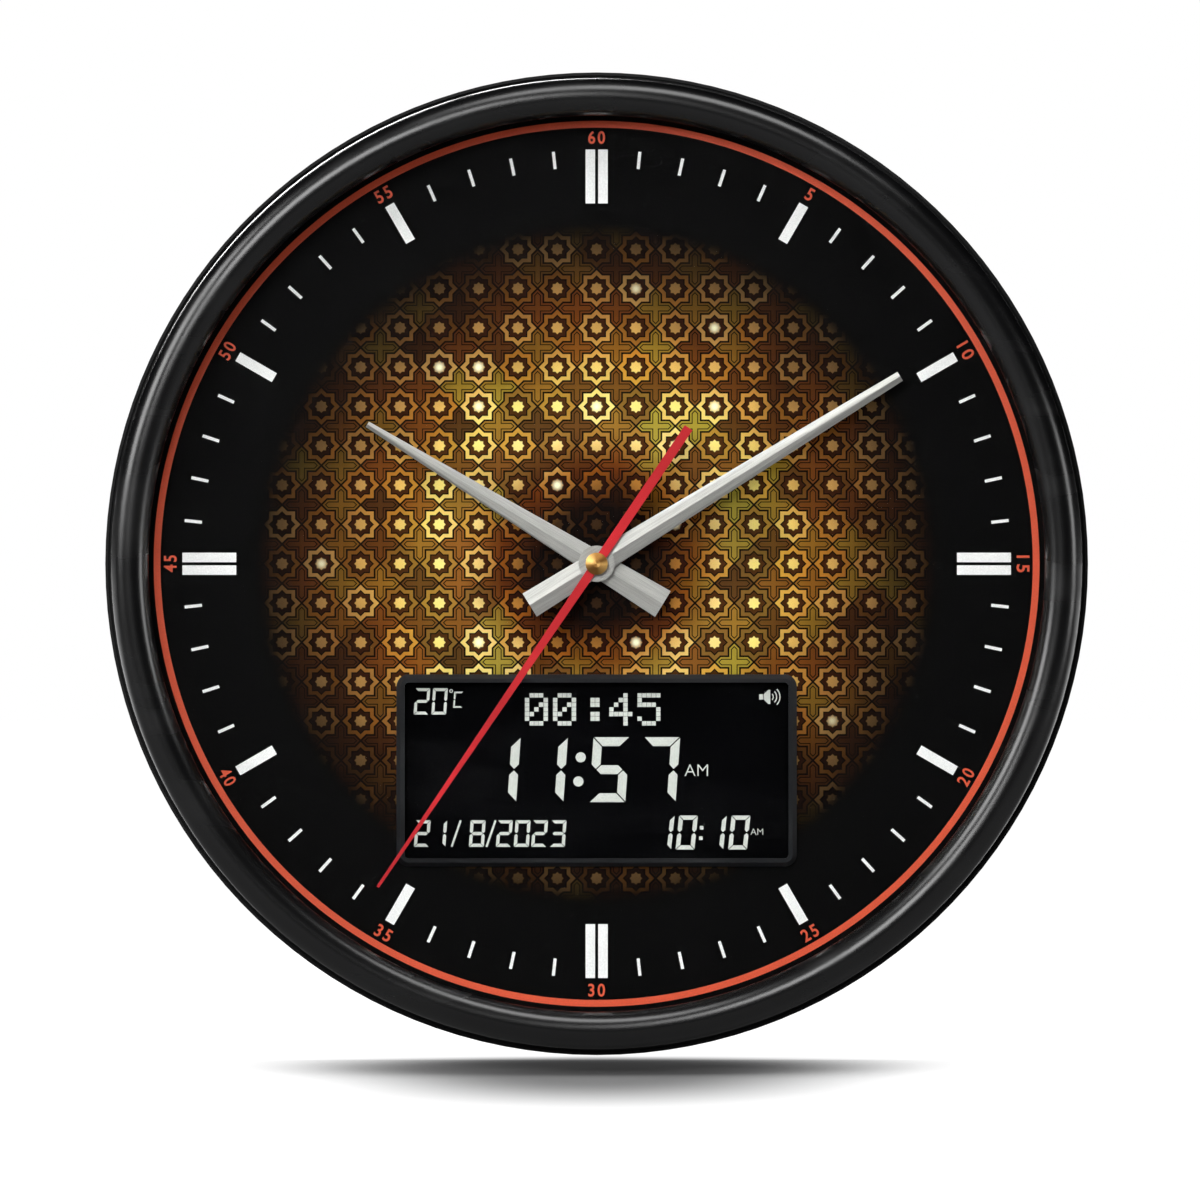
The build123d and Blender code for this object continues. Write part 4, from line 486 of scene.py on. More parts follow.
class Grain(Effect):
    """A moulded surface: fine even pitting and faint broad marks of handling."""

    name = "moulded_grain"
    takes = {"Vector": None, "Scale": 2500.0}
    gives = ("Height", "Marks")

    def lay(self, graph: Graph, given: Sockets) -> Sockets:
        """Lays pits over a slow unevenness, and the marks."""
        pits = graph.add("TexVoronoi",
                         {"Vector": given["Vector"], "Scale": given["Scale"]}).outputs[0]
        slow = graph.noise(given["Vector"], graph.times(given["Scale"], 0.12))
        height = graph.plus(graph.times(pits, 0.7), graph.times(slow, 0.6))
        smear = graph.add("Mapping",
                          {0: given["Vector"], 2: (0.3, 0.2, 0.5), 3: (14.0, 14.0, 46.0)})
        return {"Height": height,
                "Marks": graph.step(graph.noise(smear.outputs[0], 1.0, 5.0), 0.42, 0.75)}


class Strokes(Effect):
    """Fine straight strokes of a brushed surface, along Z before the vector is turned."""

    name = "brushed_strokes"
    takes = {"Vector": None, "Turn": 0.0, "Scale": 6000.0}
    gives = ("Height", "Tone")

    def lay(self, graph: Graph, given: Sockets) -> Sockets:
        """Turns the vector about Y, then stretches two noises along the strokes."""
        turn = graph.add("CombineXYZ", {1: given["Turn"]}).outputs[0]
        turned = graph.add("Mapping", {0: given["Vector"], 2: turn},
                           vector_type="TEXTURE").outputs[0]
        long = graph.add("Mapping", {0: turned, 3: (1.0, 1.0, 0.02)}).outputs[0]
        fine = graph.noise(long, given["Scale"], 2.0)
        broad = graph.noise(long, graph.times(given["Scale"], 0.2), 2.0)
        tone = graph.plus(graph.times(fine, 0.6), graph.times(broad, 0.4))
        return {"Height": fine, "Tone": tone}


class TurnedRings(Effect):
    """Fine rings round the shaft's line, as a lathe leaves them, and a painted fan of the light
    they reflect.
    """

    name = "turned_rings"
    takes = {"Vector": None, "Scale": 5000.0}
    gives = ("Height", "PaintedFan")

    def lay(self, graph: Graph, given: Sockets) -> Sockets:
        """Takes the radius and the angle from the vector's X and Z."""
        x, _, z = graph.parts(given["Vector"])
        radius = graph.length(x, z)
        line = graph.add("CombineXYZ", {0: radius}).outputs[0]
        height = graph.noise(line, given["Scale"], 2.0)
        # The fan is a painted reflection: sectors round the shaft made lighter and darker in the
        # colour.
        angle = graph.calc("ARCTAN2", z, x)
        wave = graph.calc("COSINE", graph.plus(graph.times(angle, 2.0), 1.1))
        return {"Height": height, "PaintedFan": graph.step(wave, -0.6, 1.0)}


GRAIN, STROKES, RINGS = Grain(), Strokes(), TurnedRings()


# ------------------------------------------------------------------ finishes
@dataclass(frozen=True)
class Finish:
    """What every finish has: a name, and a way to lay its nodes round one shader."""

    name: str

    def lay(self, graph: Graph, shader: Node) -> None:
        """Lays the finish's nodes and feeds the shader."""
        raise NotImplementedError

    def close(self, graph: Graph, shader: Node) -> Socket:
        """Returns what goes to the surface: the shader itself, unless a finish adds to it."""
        return shader.outputs[0]

    def make(self) -> bpy.types.Material:
        """Makes the material on the first call, and stops where the frame has one of that name.

        Returns:
            The material.
        """
        if self.name in MADE:
            return MADE[self.name]
        if self.name in bpy.data.materials:
            raise ValueError("the frame already has a material of this name: " + self.name)
        made = bpy.data.materials.new(self.name)
        made.use_nodes = True
        graph = Graph(made.node_tree)
        shader = graph.add("BsdfPrincipled")
        self.lay(graph, shader)
        graph.add("OutputMaterial", {0: self.close(graph, shader)})
        MADE[self.name] = made
        return made

    def on(self, *pieces: Piece) -> None:
        """Gives the finish to every slot of some pieces."""
        made = self.make()
        for piece in pieces:
            if not piece.material_slots:
                piece.data.materials.append(made)
            for holder in piece.material_slots:
                holder.material = made


@dataclass(frozen=True)
class Moulded(Finish):
    """Moulded plastic or rubber with its grain.

    Attributes:
        colour: Its colour.
        roughness: How rough it is where it is clean.
        scale: How fine the grain is, in pits to a metre.
        relief: How deep the grain is, in metres.
        gloss: Its specular level.
    """

    colour: Colour
    roughness: float = 0.45
    scale: float = 2500.0
    relief: float = 2e-5
    gloss: float = 0.5

    def lay(self, graph: Graph, shader: Node) -> None:
        """Lays the grain as height, and the marks as a change of roughness and tone."""
        grain = GRAIN.place(graph, Vector=graph.place(), Scale=self.scale)
        worn = shaded(self.colour, 1.35, 0.002)
        graph.fill(shader, {
            "Base Color": graph.mix(grain["Marks"], self.colour, worn),
            "Roughness": graph.step(grain["Marks"], 0.0, 1.0, self.roughness,
                                    min(1.0, self.roughness + 0.07)),
            "Normal": graph.bump(grain["Height"], self.relief),
            "Specular IOR Level": self.gloss})


@dataclass(frozen=True)
class Brushed(Finish):
    """Brushed metal, its strokes along a direction as the viewer sees it.

    Attributes:
        colour: The metal's colour.
        turn: The strokes' angle in degrees, clockwise from upright.
        roughness: Its mean roughness.
        scale: How many strokes lie across a metre.
        contrast: How much darker the dark strokes are.
    """

    colour: Colour
    turn: float = 0.0
    roughness: float = 0.48
    scale: float = 5000.0
    contrast: float = 0.24

    def lay(self, graph: Graph, shader: Node) -> None:
        """Lays the strokes as tone, roughness and height."""
        strokes = STROKES.place(graph, Vector=graph.place(), Turn=math.radians(self.turn),
                                Scale=self.scale)
        dark = shaded(self.colour, 1 - self.contrast)
        tone = graph.step(strokes["Tone"], 0.3, 0.7)
        graph.fill(shader, {
            "Base Color": graph.mix(tone, dark, self.colour),
            "Roughness": graph.step(strokes["Tone"], 0.3, 0.7, self.roughness + 0.08,
                                    self.roughness - 0.04),
            "Normal": graph.bump(strokes["Height"], 1.2e-5),
            "Metallic": 1.0})


@dataclass(frozen=True)
class Turned(Finish):
    """Metal turned on a lathe about the shaft's line.

    Attributes:
        colour: The metal's colour.
        shade: Its colour where the painted fan of reflected light is dark.
        roughness: Its roughness.
    """

    colour: Colour
    shade: Colour
    roughness: float = 0.28

    def lay(self, graph: Graph, shader: Node) -> None:
        """Lays the rings as height, and the painted fan of reflected light as tone."""
        rings = RINGS.place(graph, Vector=graph.place(), Scale=5200.0)
        graph.fill(shader, {
            # Painted reflection: the fan mixes the shade colour into the metal's colour.
            "Base Color": graph.mix(rings["PaintedFan"], self.shade, self.colour),
            "Roughness": graph.step(rings["Height"], 0.3, 0.7, self.roughness,
                                    self.roughness + 0.12),
            "Normal": graph.bump(rings["Height"], 2e-5),
            "Metallic": 1.0})


@dataclass(frozen=True)
class Plated(Finish):
    """Rolled and plated metal, slightly clouded.

    Attributes:
        colour: The plating's colour.
        roughness: Its roughness.
    """

    colour: Colour
    roughness: float = 0.3

    def lay(self, graph: Graph, shader: Node) -> None:
        """Lays the grain's marks as clouds and a faint rolled line."""
        spot = graph.place()
        grain = GRAIN.place(graph, Vector=spot, Scale=3000.0)
        rolled = graph.add("Mapping", {0: spot, 3: (1.0, 1.0, 24.0)}).outputs[0]
        line = graph.noise(rolled, 220.0, 2.0)
        dull = shaded(self.colour, 0.72)
        graph.fill(shader, {
            "Base Color": graph.mix(grain["Marks"], self.colour, dull),
            "Roughness": graph.step(line, 0.3, 0.7, self.roughness, self.roughness + 0.14),
            "Normal": graph.bump(line, 6e-6),
            "Metallic": 1.0})


@dataclass(frozen=True)
class Pane(Finish):
    """A clear pane, thin to light that falls through it.

    Attributes:
        tint: The faint colour of its depth.
        ior: How strongly it bends and mirrors.
        haze: Its roughness.
    """

    tint: Colour
    ior: float = 1.15
    haze: float = 0.0

    def lay(self, graph: Graph, shader: Node) -> None:
        """Lays faint wipe marks over a clear body."""
        grain = GRAIN.place(graph, Vector=graph.place(), Scale=900.0)
        graph.fill(shader, {
            "Base Color": self.tint,
            "Roughness": graph.step(grain["Marks"], 0.0, 1.0, self.haze, self.haze + 0.02),
            "Transmission Weight": 1.0,
            "IOR": self.ior})

    def close(self, graph: Graph, shader: Node) -> Socket:
        """Lets shadow rays straight through, so that the lamps reach what is behind."""
        clear = graph.add("BsdfTransparent", {0: self.tint})
        path = graph.add("LightPath")
        return graph.add("MixShader", {0: path.outputs["Is Shadow Ray"], 1: shader.outputs[0],
                                       2: clear.outputs[0]}).outputs[0]


@dataclass(frozen=True)
class Printed(Finish):
    """Screen-printed ink with a little unevenness.

    Attributes:
        colour: The ink's colour.
        glow: How much light it gives off itself.
    """

    colour: Colour
    glow: float = 0.0

    def lay(self, graph: Graph, shader: Node) -> None:
        """Lays the ink's mottle as tone and roughness."""
        mottle = graph.noise(graph.place(), 1600.0, 4.0)
        thin = shaded(self.colour, 0.9)
        colour = graph.mix(graph.step(mottle, 0.35, 0.65), thin, self.colour)
        graph.fill(shader, {
            "Base Color": colour,
            "Roughness": graph.step(mottle, 0.3, 0.7, 0.45, 0.6),
            "Normal": graph.bump(mottle, 4e-6)})
        if self.glow > 0:
            graph.feed(shader.inputs["Emission Color"], colour)
            graph.feed(shader.inputs["Emission Strength"], self.glow)


@dataclass(frozen=True)
class DialPrint(Finish):
    """The printed sheet of the dial: a lamplit field of eight-pointed stars and crosses on black.

    Attributes:
        star: The radius of a star, in millimetres.
        field: The radius at which the picture has faded to black, in millimetres.
        face: The depth of the printed face, in millimetres.
    """

    star: float = 7.0
    field: float = 125.0
    face: float = DIAL_FACE

    def tiles(self, graph: Graph, x: Feed, z: Feed) -> Sockets:
        """Works out where a point lies in the field of tiles.

        Args:
            graph: The material's graph.
            x: The point's place across, in metres.
            z: The point's place up, in metres.

        Returns:
            The distance from the tiles' outline, below 0 inside a star, and from the nearest star's
            middle, both in star radii, 1 inside a cross, and one random value a tile.
        """
        pitch = 2 * self.star * MM
        folded, cells, shifted = [], [], []
        for value in (x, z):
            grid = graph.plus(graph.calc("DIVIDE", value, pitch), 0.5)
            inside = graph.minus(graph.calc("FRACT", grid), 0.5)
            folded.append(graph.times(graph.calc("ABSOLUTE", inside), 2.0))
            cells.append(graph.calc("FLOOR", grid))
            shifted.append(graph.plus(graph.calc("FLOOR", graph.plus(grid, 0.5)), 0.37))
        square = graph.minus(graph.larger(*folded), math.sqrt(0.5))
        diamond = graph.times(graph.minus(graph.plus(*folded), 1.0), math.sqrt(0.5))
        edge = graph.calc("MINIMUM", square, diamond)
        middle = graph.length(*folded)
        in_cross = graph.beyond(edge, 0.0)
        names = []
        for a, b in zip(cells, shifted):
            names.append(graph.plus(graph.times(a, graph.minus(1.0, in_cross)),
                                    graph.times(b, in_cross)))
        name = graph.add("CombineXYZ", {0: names[0], 1: names[1]}).outputs[0]
        chance = graph.add("TexWhiteNoise", {0: name}, noise_dimensions="3D").outputs[0]
        return {"edge": edge, "middle": middle, "cross": in_cross, "chance": chance}

    def lay(self, graph: Graph, shader: Node) -> None:
        """Lays the field, its light round the shaft, its lamps and the plain black border."""
        spot = graph.place()
        x, y, z = graph.parts(spot)
        tile = self.tiles(graph, x, z)
        far = graph.calc("DIVIDE", graph.length(x, z), self.field * MM)
        cloud = graph.noise(spot, 26.0, 4.0)
        black = ink(3, 3, 3)
        light = graph.ramp(far, (
            (0.00, ink(40, 28, 18)), (0.16, ink(58, 40, 24)), (0.27, ink(178, 128, 66)),
            (0.38, ink(255, 238, 176)), (0.50, ink(248, 240, 158)), (0.60, ink(222, 188, 118)),
            (0.72, ink(168, 134, 88)), (0.85, ink(100, 80, 56)), (0.97, ink(3, 3, 3))))
        line = graph.step(graph.distance(tile["edge"]), 0.035, 0.06)
        inner = graph.step(graph.distance(tile["edge"], -0.26), 0.02, 0.045)
        heart = graph.step(graph.distance(tile["edge"], 0.15), 0.015, 0.035)
        star_tone = graph.ramp(tile["chance"], (
            (0.0, ink(120, 92, 58)), (0.5, ink(214, 170, 96)), (1.0, ink(250, 236, 196))))
        cross_tone = graph.ramp(tile["chance"], (
            (0.0, ink(86, 60, 38)), (0.6, ink(144, 98, 52)), (1.0, ink(170, 164, 88))))
        tone = graph.mix(tile["cross"], star_tone, cross_tone)
        tone = graph.mix(graph.step(tile["edge"], -0.28, -0.24, 1.0, 0.0), tone, ink(74, 44, 22))
        tone = graph.mix(graph.step(tile["edge"], -0.50, -0.46, 1.0, 0.0), tone, ink(255, 240, 200))
        lined = tone
        for mark in (line, inner, heart):
            lined = graph.mix(mark, ink(16, 10, 6), lined)
        lit = graph.mix(1.0, lined, light, "MULTIPLY")
        lit = graph.mix(graph.step(cloud, 0.4, 0.75, 0.0, 0.4), lit, ink(0, 0, 0))
        chosen = graph.times(graph.beyond(tile["chance"], 0.86), graph.minus(1.0, tile["cross"]))
        lamp = graph.times(chosen, graph.step(tile["middle"], 0.02, 0.34, 1.0, 0.0))
        lamp = graph.times(lamp, graph.step(far, 0.66, 0.9, 1.0, 0.0))
        lit = graph.mix(lamp, lit, ink(246, 252, 214))
        lit = graph.mix(graph.step(far, 0.93, 1.0), lit, black)
        sheet = graph.step(y, (-self.face + 0.05) * MM, (-self.face + 0.1) * MM)
        fibre = graph.noise(spot, 2600.0, 3.0)
        graph.fill(shader, {
            "Base Color": graph.mix(sheet, lit, ink(20, 20, 21)),
            "Roughness": graph.step(fibre, 0.3, 0.7, 0.42, 0.52),
            "Normal": graph.bump(fibre, 3e-6),
            "Specular IOR Level": 0.06})


@dataclass(frozen=True)
class Board(Finish):
    """A circuit board: green lacquer over copper tracks, with tinned pads."""

    def lay(self, graph: Graph, shader: Node) -> None:
        """Lays tracks from square cells and pads from their corners."""
        spot = graph.place()
        flat = graph.add("Mapping", {0: spot, 3: (1.0, 0.0, 1.0)}).outputs[0]
        cells = graph.add("TexVoronoi", {"Vector": flat, "Scale": 160.0, "Randomness": 0.7},
                          distance="CHEBYCHEV").outputs[0]
        bands = graph.calc("FRACT", graph.times(cells, 3.0))
        track = graph.step(graph.distance(bands, 0.5), 0.12, 0.2)
        pads = graph.add("TexVoronoi",
                         {"Vector": flat, "Scale": 230.0, "Randomness": 0.25}).outputs[0]
        pad = graph.step(pads, 0.1, 0.14, 1.0, 0.0)
        green = graph.mix(track, ink(26, 104, 52), ink(14, 70, 36))
        graph.fill(shader, {
            "Base Color": graph.mix(pad, green, ink(196, 196, 190)),
            "Metallic": graph.times(pad, 0.9),
            "Roughness": graph.step(track, 0.0, 1.0, 0.32, 0.4),
            "Normal": graph.bump(track, 1.5e-5)})


@dataclass(frozen=True)
class Cell(Finish):
    """A dry cell: a printed sleeve with a metal band at its plus end and bare metal ends.

    Attributes:
        along: The axis the cell lies along, 0 for X and 2 for Z.
        low: The low end of the sleeve on that axis, in metres.
        high: The high end of the sleeve.
    """

    along: int
    low: float
    high: float

    def lay(self, graph: Graph, shader: Node) -> None:
        """Lays the sleeve's dark body, its coppery band and the bare ends."""
        spot = graph.place()
        reach = graph.parts(spot)[self.along]
        share = graph.add("MapRange", {0: reach, 1: self.low, 2: self.high}).outputs[0]
        sleeve = ink(24, 26, 30)
        body = graph.ramp(share, ((0.0, sleeve), (0.66, sleeve), (0.68, ink(186, 122, 52)),
                                  (1.0, ink(204, 140, 66))))
        ends = graph.larger(graph.step(share, 0.012, 0.02, 1.0, 0.0),
                            graph.step(share, 0.98, 0.988))
        grain = GRAIN.place(graph, Vector=spot, Scale=1800.0)
        graph.fill(shader, {
            "Base Color": graph.mix(ends, body, ink(196, 196, 196)),
            "Metallic": graph.larger(ends, 0.35),
            "Roughness": graph.step(grain["Marks"], 0.0, 1.0, 0.28, 0.42)})


@dataclass(frozen=True)
class Pair(Finish):
    """Two wires of one run, told apart by the side of a line that they lie on.

    Attributes:
        axis: The axis that parts them, 0 for X and 2 for Z.
        middle: Where the line between them is, in metres.
    """

    axis: int
    middle: float

    def lay(self, graph: Graph, shader: Node) -> None:
        """Lays red sleeving on one side and black on the other."""
        spot = graph.place()
        grain = GRAIN.place(graph, Vector=spot, Scale=3000.0)
        side = graph.beyond(graph.parts(spot)[self.axis], self.middle)
        graph.fill(shader, {
            "Base Color": graph.mix(side, ink(24, 24, 26), ink(176, 30, 28)),
            "Roughness": graph.step(grain["Marks"], 0.0, 1.0, 0.4, 0.55),
            "Normal": graph.bump(grain["Height"], 1e-5)})


@dataclass(frozen=True)
class Wound(Finish):
    """Enamelled copper wire wound side by side along X."""

    def lay(self, graph: Graph, shader: Node) -> None:
        """Lays the turns of wire as height, and as tone that is darker in the grooves between them:
        a painted shade.
        """
        spot = graph.place()
        across = graph.parts(spot)[0]
        turns = graph.calc("SINE", graph.times(across, 2 * math.pi / 0.00022))
        level = graph.step(turns, -1.0, 1.0)
        graph.fill(shader, {
            # Painted shade: the colour darkens with the height, into the grooves between turns.
            "Base Color": graph.mix(level, ink(120, 52, 24), ink(206, 112, 58)),
            "Roughness": graph.step(level, 0.0, 1.0, 0.45, 0.28),
            "Metallic": 0.85,
            "Normal": graph.bump(level, 4e-5)})


@dataclass(frozen=True)
class Fibre(Finish):
    """Pressed paper of a loudspeaker cone, with rings pressed into it round its own middle.

    Attributes:
        colour: The paper's colour.
        height: How far above the shaft its middle is, in metres.
    """

    colour: Colour
    height: float

    def lay(self, graph: Graph, shader: Node) -> None:
        """Lays fibres and rings."""
        moved = graph.add("Mapping", {0: graph.place(), 1: (0.0, 0.0, -self.height)}).outputs[0]
        rings = RINGS.place(graph, Vector=moved, Scale=420.0)
        fibre = graph.noise(moved, 900.0, 6.0)
        pale = shaded(self.colour, 1.8)
        graph.fill(shader, {
            "Base Color": graph.mix(graph.step(fibre, 0.4, 0.7), self.colour, pale),
            "Roughness": graph.step(fibre, 0.3, 0.7, 0.7, 0.9),
            "Normal": graph.bump(graph.plus(fibre, rings["Height"]), 6e-5)})


# ------------------------------------------------------------------ the dial
@dataclass
class DialScale:
    """The marks printed on the dial, in millimetres from the shaft.

    Attributes:
        face: The depth of the dial's face, out from the wall.
        film: How thick the print is.
        ring: The inner and outer radius of the coloured ring.
        tick: A minute mark's width and its inner and outer radius.
        stroke: An hour mark's width and its inner and outer radius.
        twin: A quarter mark's width, its inner and outer radius, and the gap between its two bars.
        number_radius: Where the numbers' middles lie.
        number_height: How high a number is.
        number_width: How wide two digits are.
        digit_share: How wide a single digit is, as a share of two.
        number_weight: How much bolder than the plain letter the numbers are.
        number_spacing: How far apart two digits stand, 1 as the plain lettering has it.
    """

    face: float = DIAL_FACE
    film: float = 0.05
    ring: tuple[float, float] = (155.3, 157.7)
    tick: tuple[float, float, float] = (1.1, 141.3, 147.5)
    stroke: tuple[float, float, float] = (3.6, 132.5, 147.5)
    twin: tuple[float, float, float, float] = (3.4, 128.3, 147.5, 1.1)
    number_radius: float = 151.8
    number_height: float = 4.6
    number_width: float = 6.0
    digit_share: float = 0.41
    number_weight: float = 0.018
    number_spacing: float = 1.28

    def mark(self, width: float, inner: float, outer: float) -> Piece:
        """Models one printed bar at twelve, its back on the dial's face.

        Args:
            width: How wide it is.
            inner: Where it starts.
            outer: Where it ends.

        Returns:
            The bar.
        """
        bar = Bench.bar("mark", width, outer - inner, self.film, 0.12)
        bar.data.transform(at(0, self.face, (inner + outer) / 2))
        return bar

    def coloured_ring(self) -> Piece:
        """Models the thin coloured ring."""
        return Bench.washer("dial_ring", self.ring[1], self.ring[0], self.face,
                            self.face + self.film)

    def ticks(self) -> Piece:
        """Models the minute marks between the hours."""
        places = [round_shaft(6 * n) for n in range(60) if n % 5]
        return Bench.copies("minute_marks", self.mark(*self.tick), places)

    def strokes(self) -> Piece:
        """Models the hour marks, single and twin."""
        hours = [round_shaft(30 * n) for n in range(12) if n % 3]
        single = Bench.copies("single_marks", self.mark(*self.stroke), hours)
        width, inner, outer, gap = self.twin
        shift = (width + gap) / 2 * MM
        quarters = [round_shaft(90 * n) @ Matrix.Translation((side * shift, 0, 0))
                    for n in range(4) for side in (-1, 1)]
        twins = Bench.copies("twin_marks", self.mark(width, inner, outer), quarters)
        return Bench.join("hour_marks", [single, twins])

    def numbers(self) -> Piece:
        """Models the minute numbers, which turn over in the lower part of the dial."""
        made = []
        for n in range(12):
            body = str(5 * n or 60)
            number = Bench.words("number", body, self.number_height, self.film, self.number_weight,
                                 self.number_spacing)
            across = [v.co.x for v in number.data.vertices]
            target = self.number_width * (1.0 if len(body) == 2 else self.digit_share)
            stretch = target * MM / (max(across) - min(across))
            number.data.transform(Matrix.Diagonal((stretch, 1, 1, 1)))
            if 4 <= n <= 8:
                number.data.transform(Matrix.Rotation(math.pi, 4, "Y"))
            number.data.transform(round_shaft(30 * n) @ at(0, self.face, self.number_radius))
            made.append(number)
        return Bench.join("minute_numbers", made)

    def build(self) -> list[Piece]:
        """Builds and dresses the dial's marks.

        Returns:
            The pieces.
        """
        white = [self.ticks(), self.strokes()]
        orange = [self.coloured_ring(), self.numbers()]
        Printed("ink_white", ink(250, 250, 248)).on(*white)
        Printed("ink_orange", ink(224, 82, 44)).on(*orange)
        for piece in white + orange:
            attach(piece, CASE)
        return white + orange


# ------------------------------------------------------------------ the display
class Segment(Enum):
    """The seven bars of a digit, by where they lie."""

    TOP = "a"
    UPPER_RIGHT = "b"
    LOWER_RIGHT = "c"
    BOTTOM = "d"
    LOWER_LEFT = "e"
    UPPER_LEFT = "f"
    MIDDLE = "g"


LIT: dict[str, str] = {
    "0": "abcdef", "1": "bc", "2": "abdeg", "3": "abcdg", "4": "bcfg", "5": "acdfg", "6": "acdefg",
    "7": "abc", "8": "abcdefg", "9": "abcdfg", "C": "adef"}

DOTS: dict[str, tuple[str, ...]] = {
    "0": (" ### ", "#   #", "#  ##", "# # #", "##  #", "#   #", " ### "),
    "4": ("   # ", "  ## ", " # # ", "#  # ", "#####", "   # ", "   # "),
    "5": ("#####", "#    ", "#### ", "    #", "    #", "#   #", " ### "),
    ":": ("     ", "  ## ", "  ## ", "     ", "  ## ", "  ## ", "     ")}


@dataclass
class SevenBar:
    """One size of seven-bar digit.

    Attributes:
        name: What its pieces are called.
        width: How wide a digit is.
        height: How high it is.
        stroke: How thick its bars are.
        gap: The gap between two bars.
        film: How thick the print is.
        slant: How far it leans, in degrees.
    """

    name: str
    width: float
    height: float
    stroke: float
    gap: float
    film: float
    slant: float = 4.0

    def patterns(self) -> dict[str, Piece]:
        """Models the three kinds of bar, at their own places in the digit.

        Returns:
            The top, upper-left and middle bars by their letters.
        """
        half_w, half_h, t = self.width / 2, self.height / 2, self.stroke
        mitre = self.gap / 2 * MITRE
        top = Bench.bar("top", self.width, t, self.film, 0.0)
        top.data.transform(at(0, 0, half_h - t / 2))
        side = Bench.bar("side", t, half_h, self.film, 0.0)
        side.data.transform(at(-half_w + t / 2, 0, half_h / 2))
        Bench.cut(side, (-half_w, half_h - mitre), (1, 1))
        for way in (1, -1):
            Bench.cut(top, (way * (half_w - mitre), half_h), (way, -1))
            Bench.cut(side, (-half_w + t / 2, mitre), (way, -1))
        middle = Bench.bar("middle", self.width - t - 2 * mitre, t, self.film, 0.0)
        for x in (-1, 1):
            for z in (-1, 1):
                Bench.cut(middle, (x * (half_w - t / 2 - mitre), 0), (x, z))
        return {Segment.TOP.value: top, Segment.UPPER_LEFT.value: side,
                Segment.MIDDLE.value: middle}

    def turns(self) -> dict[str, tuple[str, Matrix]]:
        """Returns, for each bar, the pattern it comes from and how that is turned over."""
        still, over = Matrix.Identity(4), Matrix.Rotation(math.pi, 4, "X")
        aside = Matrix.Rotation(math.pi, 4, "Z")
        face = at(0, self.film, 0)
        return {
            Segment.TOP.value: ("a", still), Segment.BOTTOM.value: ("a", face @ over),
            Segment.UPPER_LEFT.value: ("f", still), Segment.UPPER_RIGHT.value: ("f", face @ aside),
            Segment.LOWER_LEFT.value: ("f", face @ over),
            Segment.LOWER_RIGHT.value: ("f", aside @ over), Segment.MIDDLE.value: ("g", still)}

    def row(self, digits: str, across: Sequence[float], up: float, depth: float) -> Piece:
        """Models a row of digits.

        Args:
            digits: What it shows.
            across: Where each digit's middle is, across.
            up: Where the row's middle is, up.
            depth: Where the digits' back lies.

        Returns:
            The row as one piece.
        """
        lean = Matrix.Identity(4)
        lean[0][2] = math.tan(math.radians(self.slant))
        turns, made = self.turns(), []
        for letter, pattern in self.patterns().items():
            places = [at(x, depth, up) @ lean @ turns[bar][1]
                      for digit, x in zip(digits, across)
                      for bar in LIT[digit] if turns[bar][0] == letter]
            if places:
                made.append(Bench.copies(self.name + "_" + letter, pattern, places))
            else:
                Bench.drop(pattern)
        return Bench.outward(Bench.join(self.name, made))


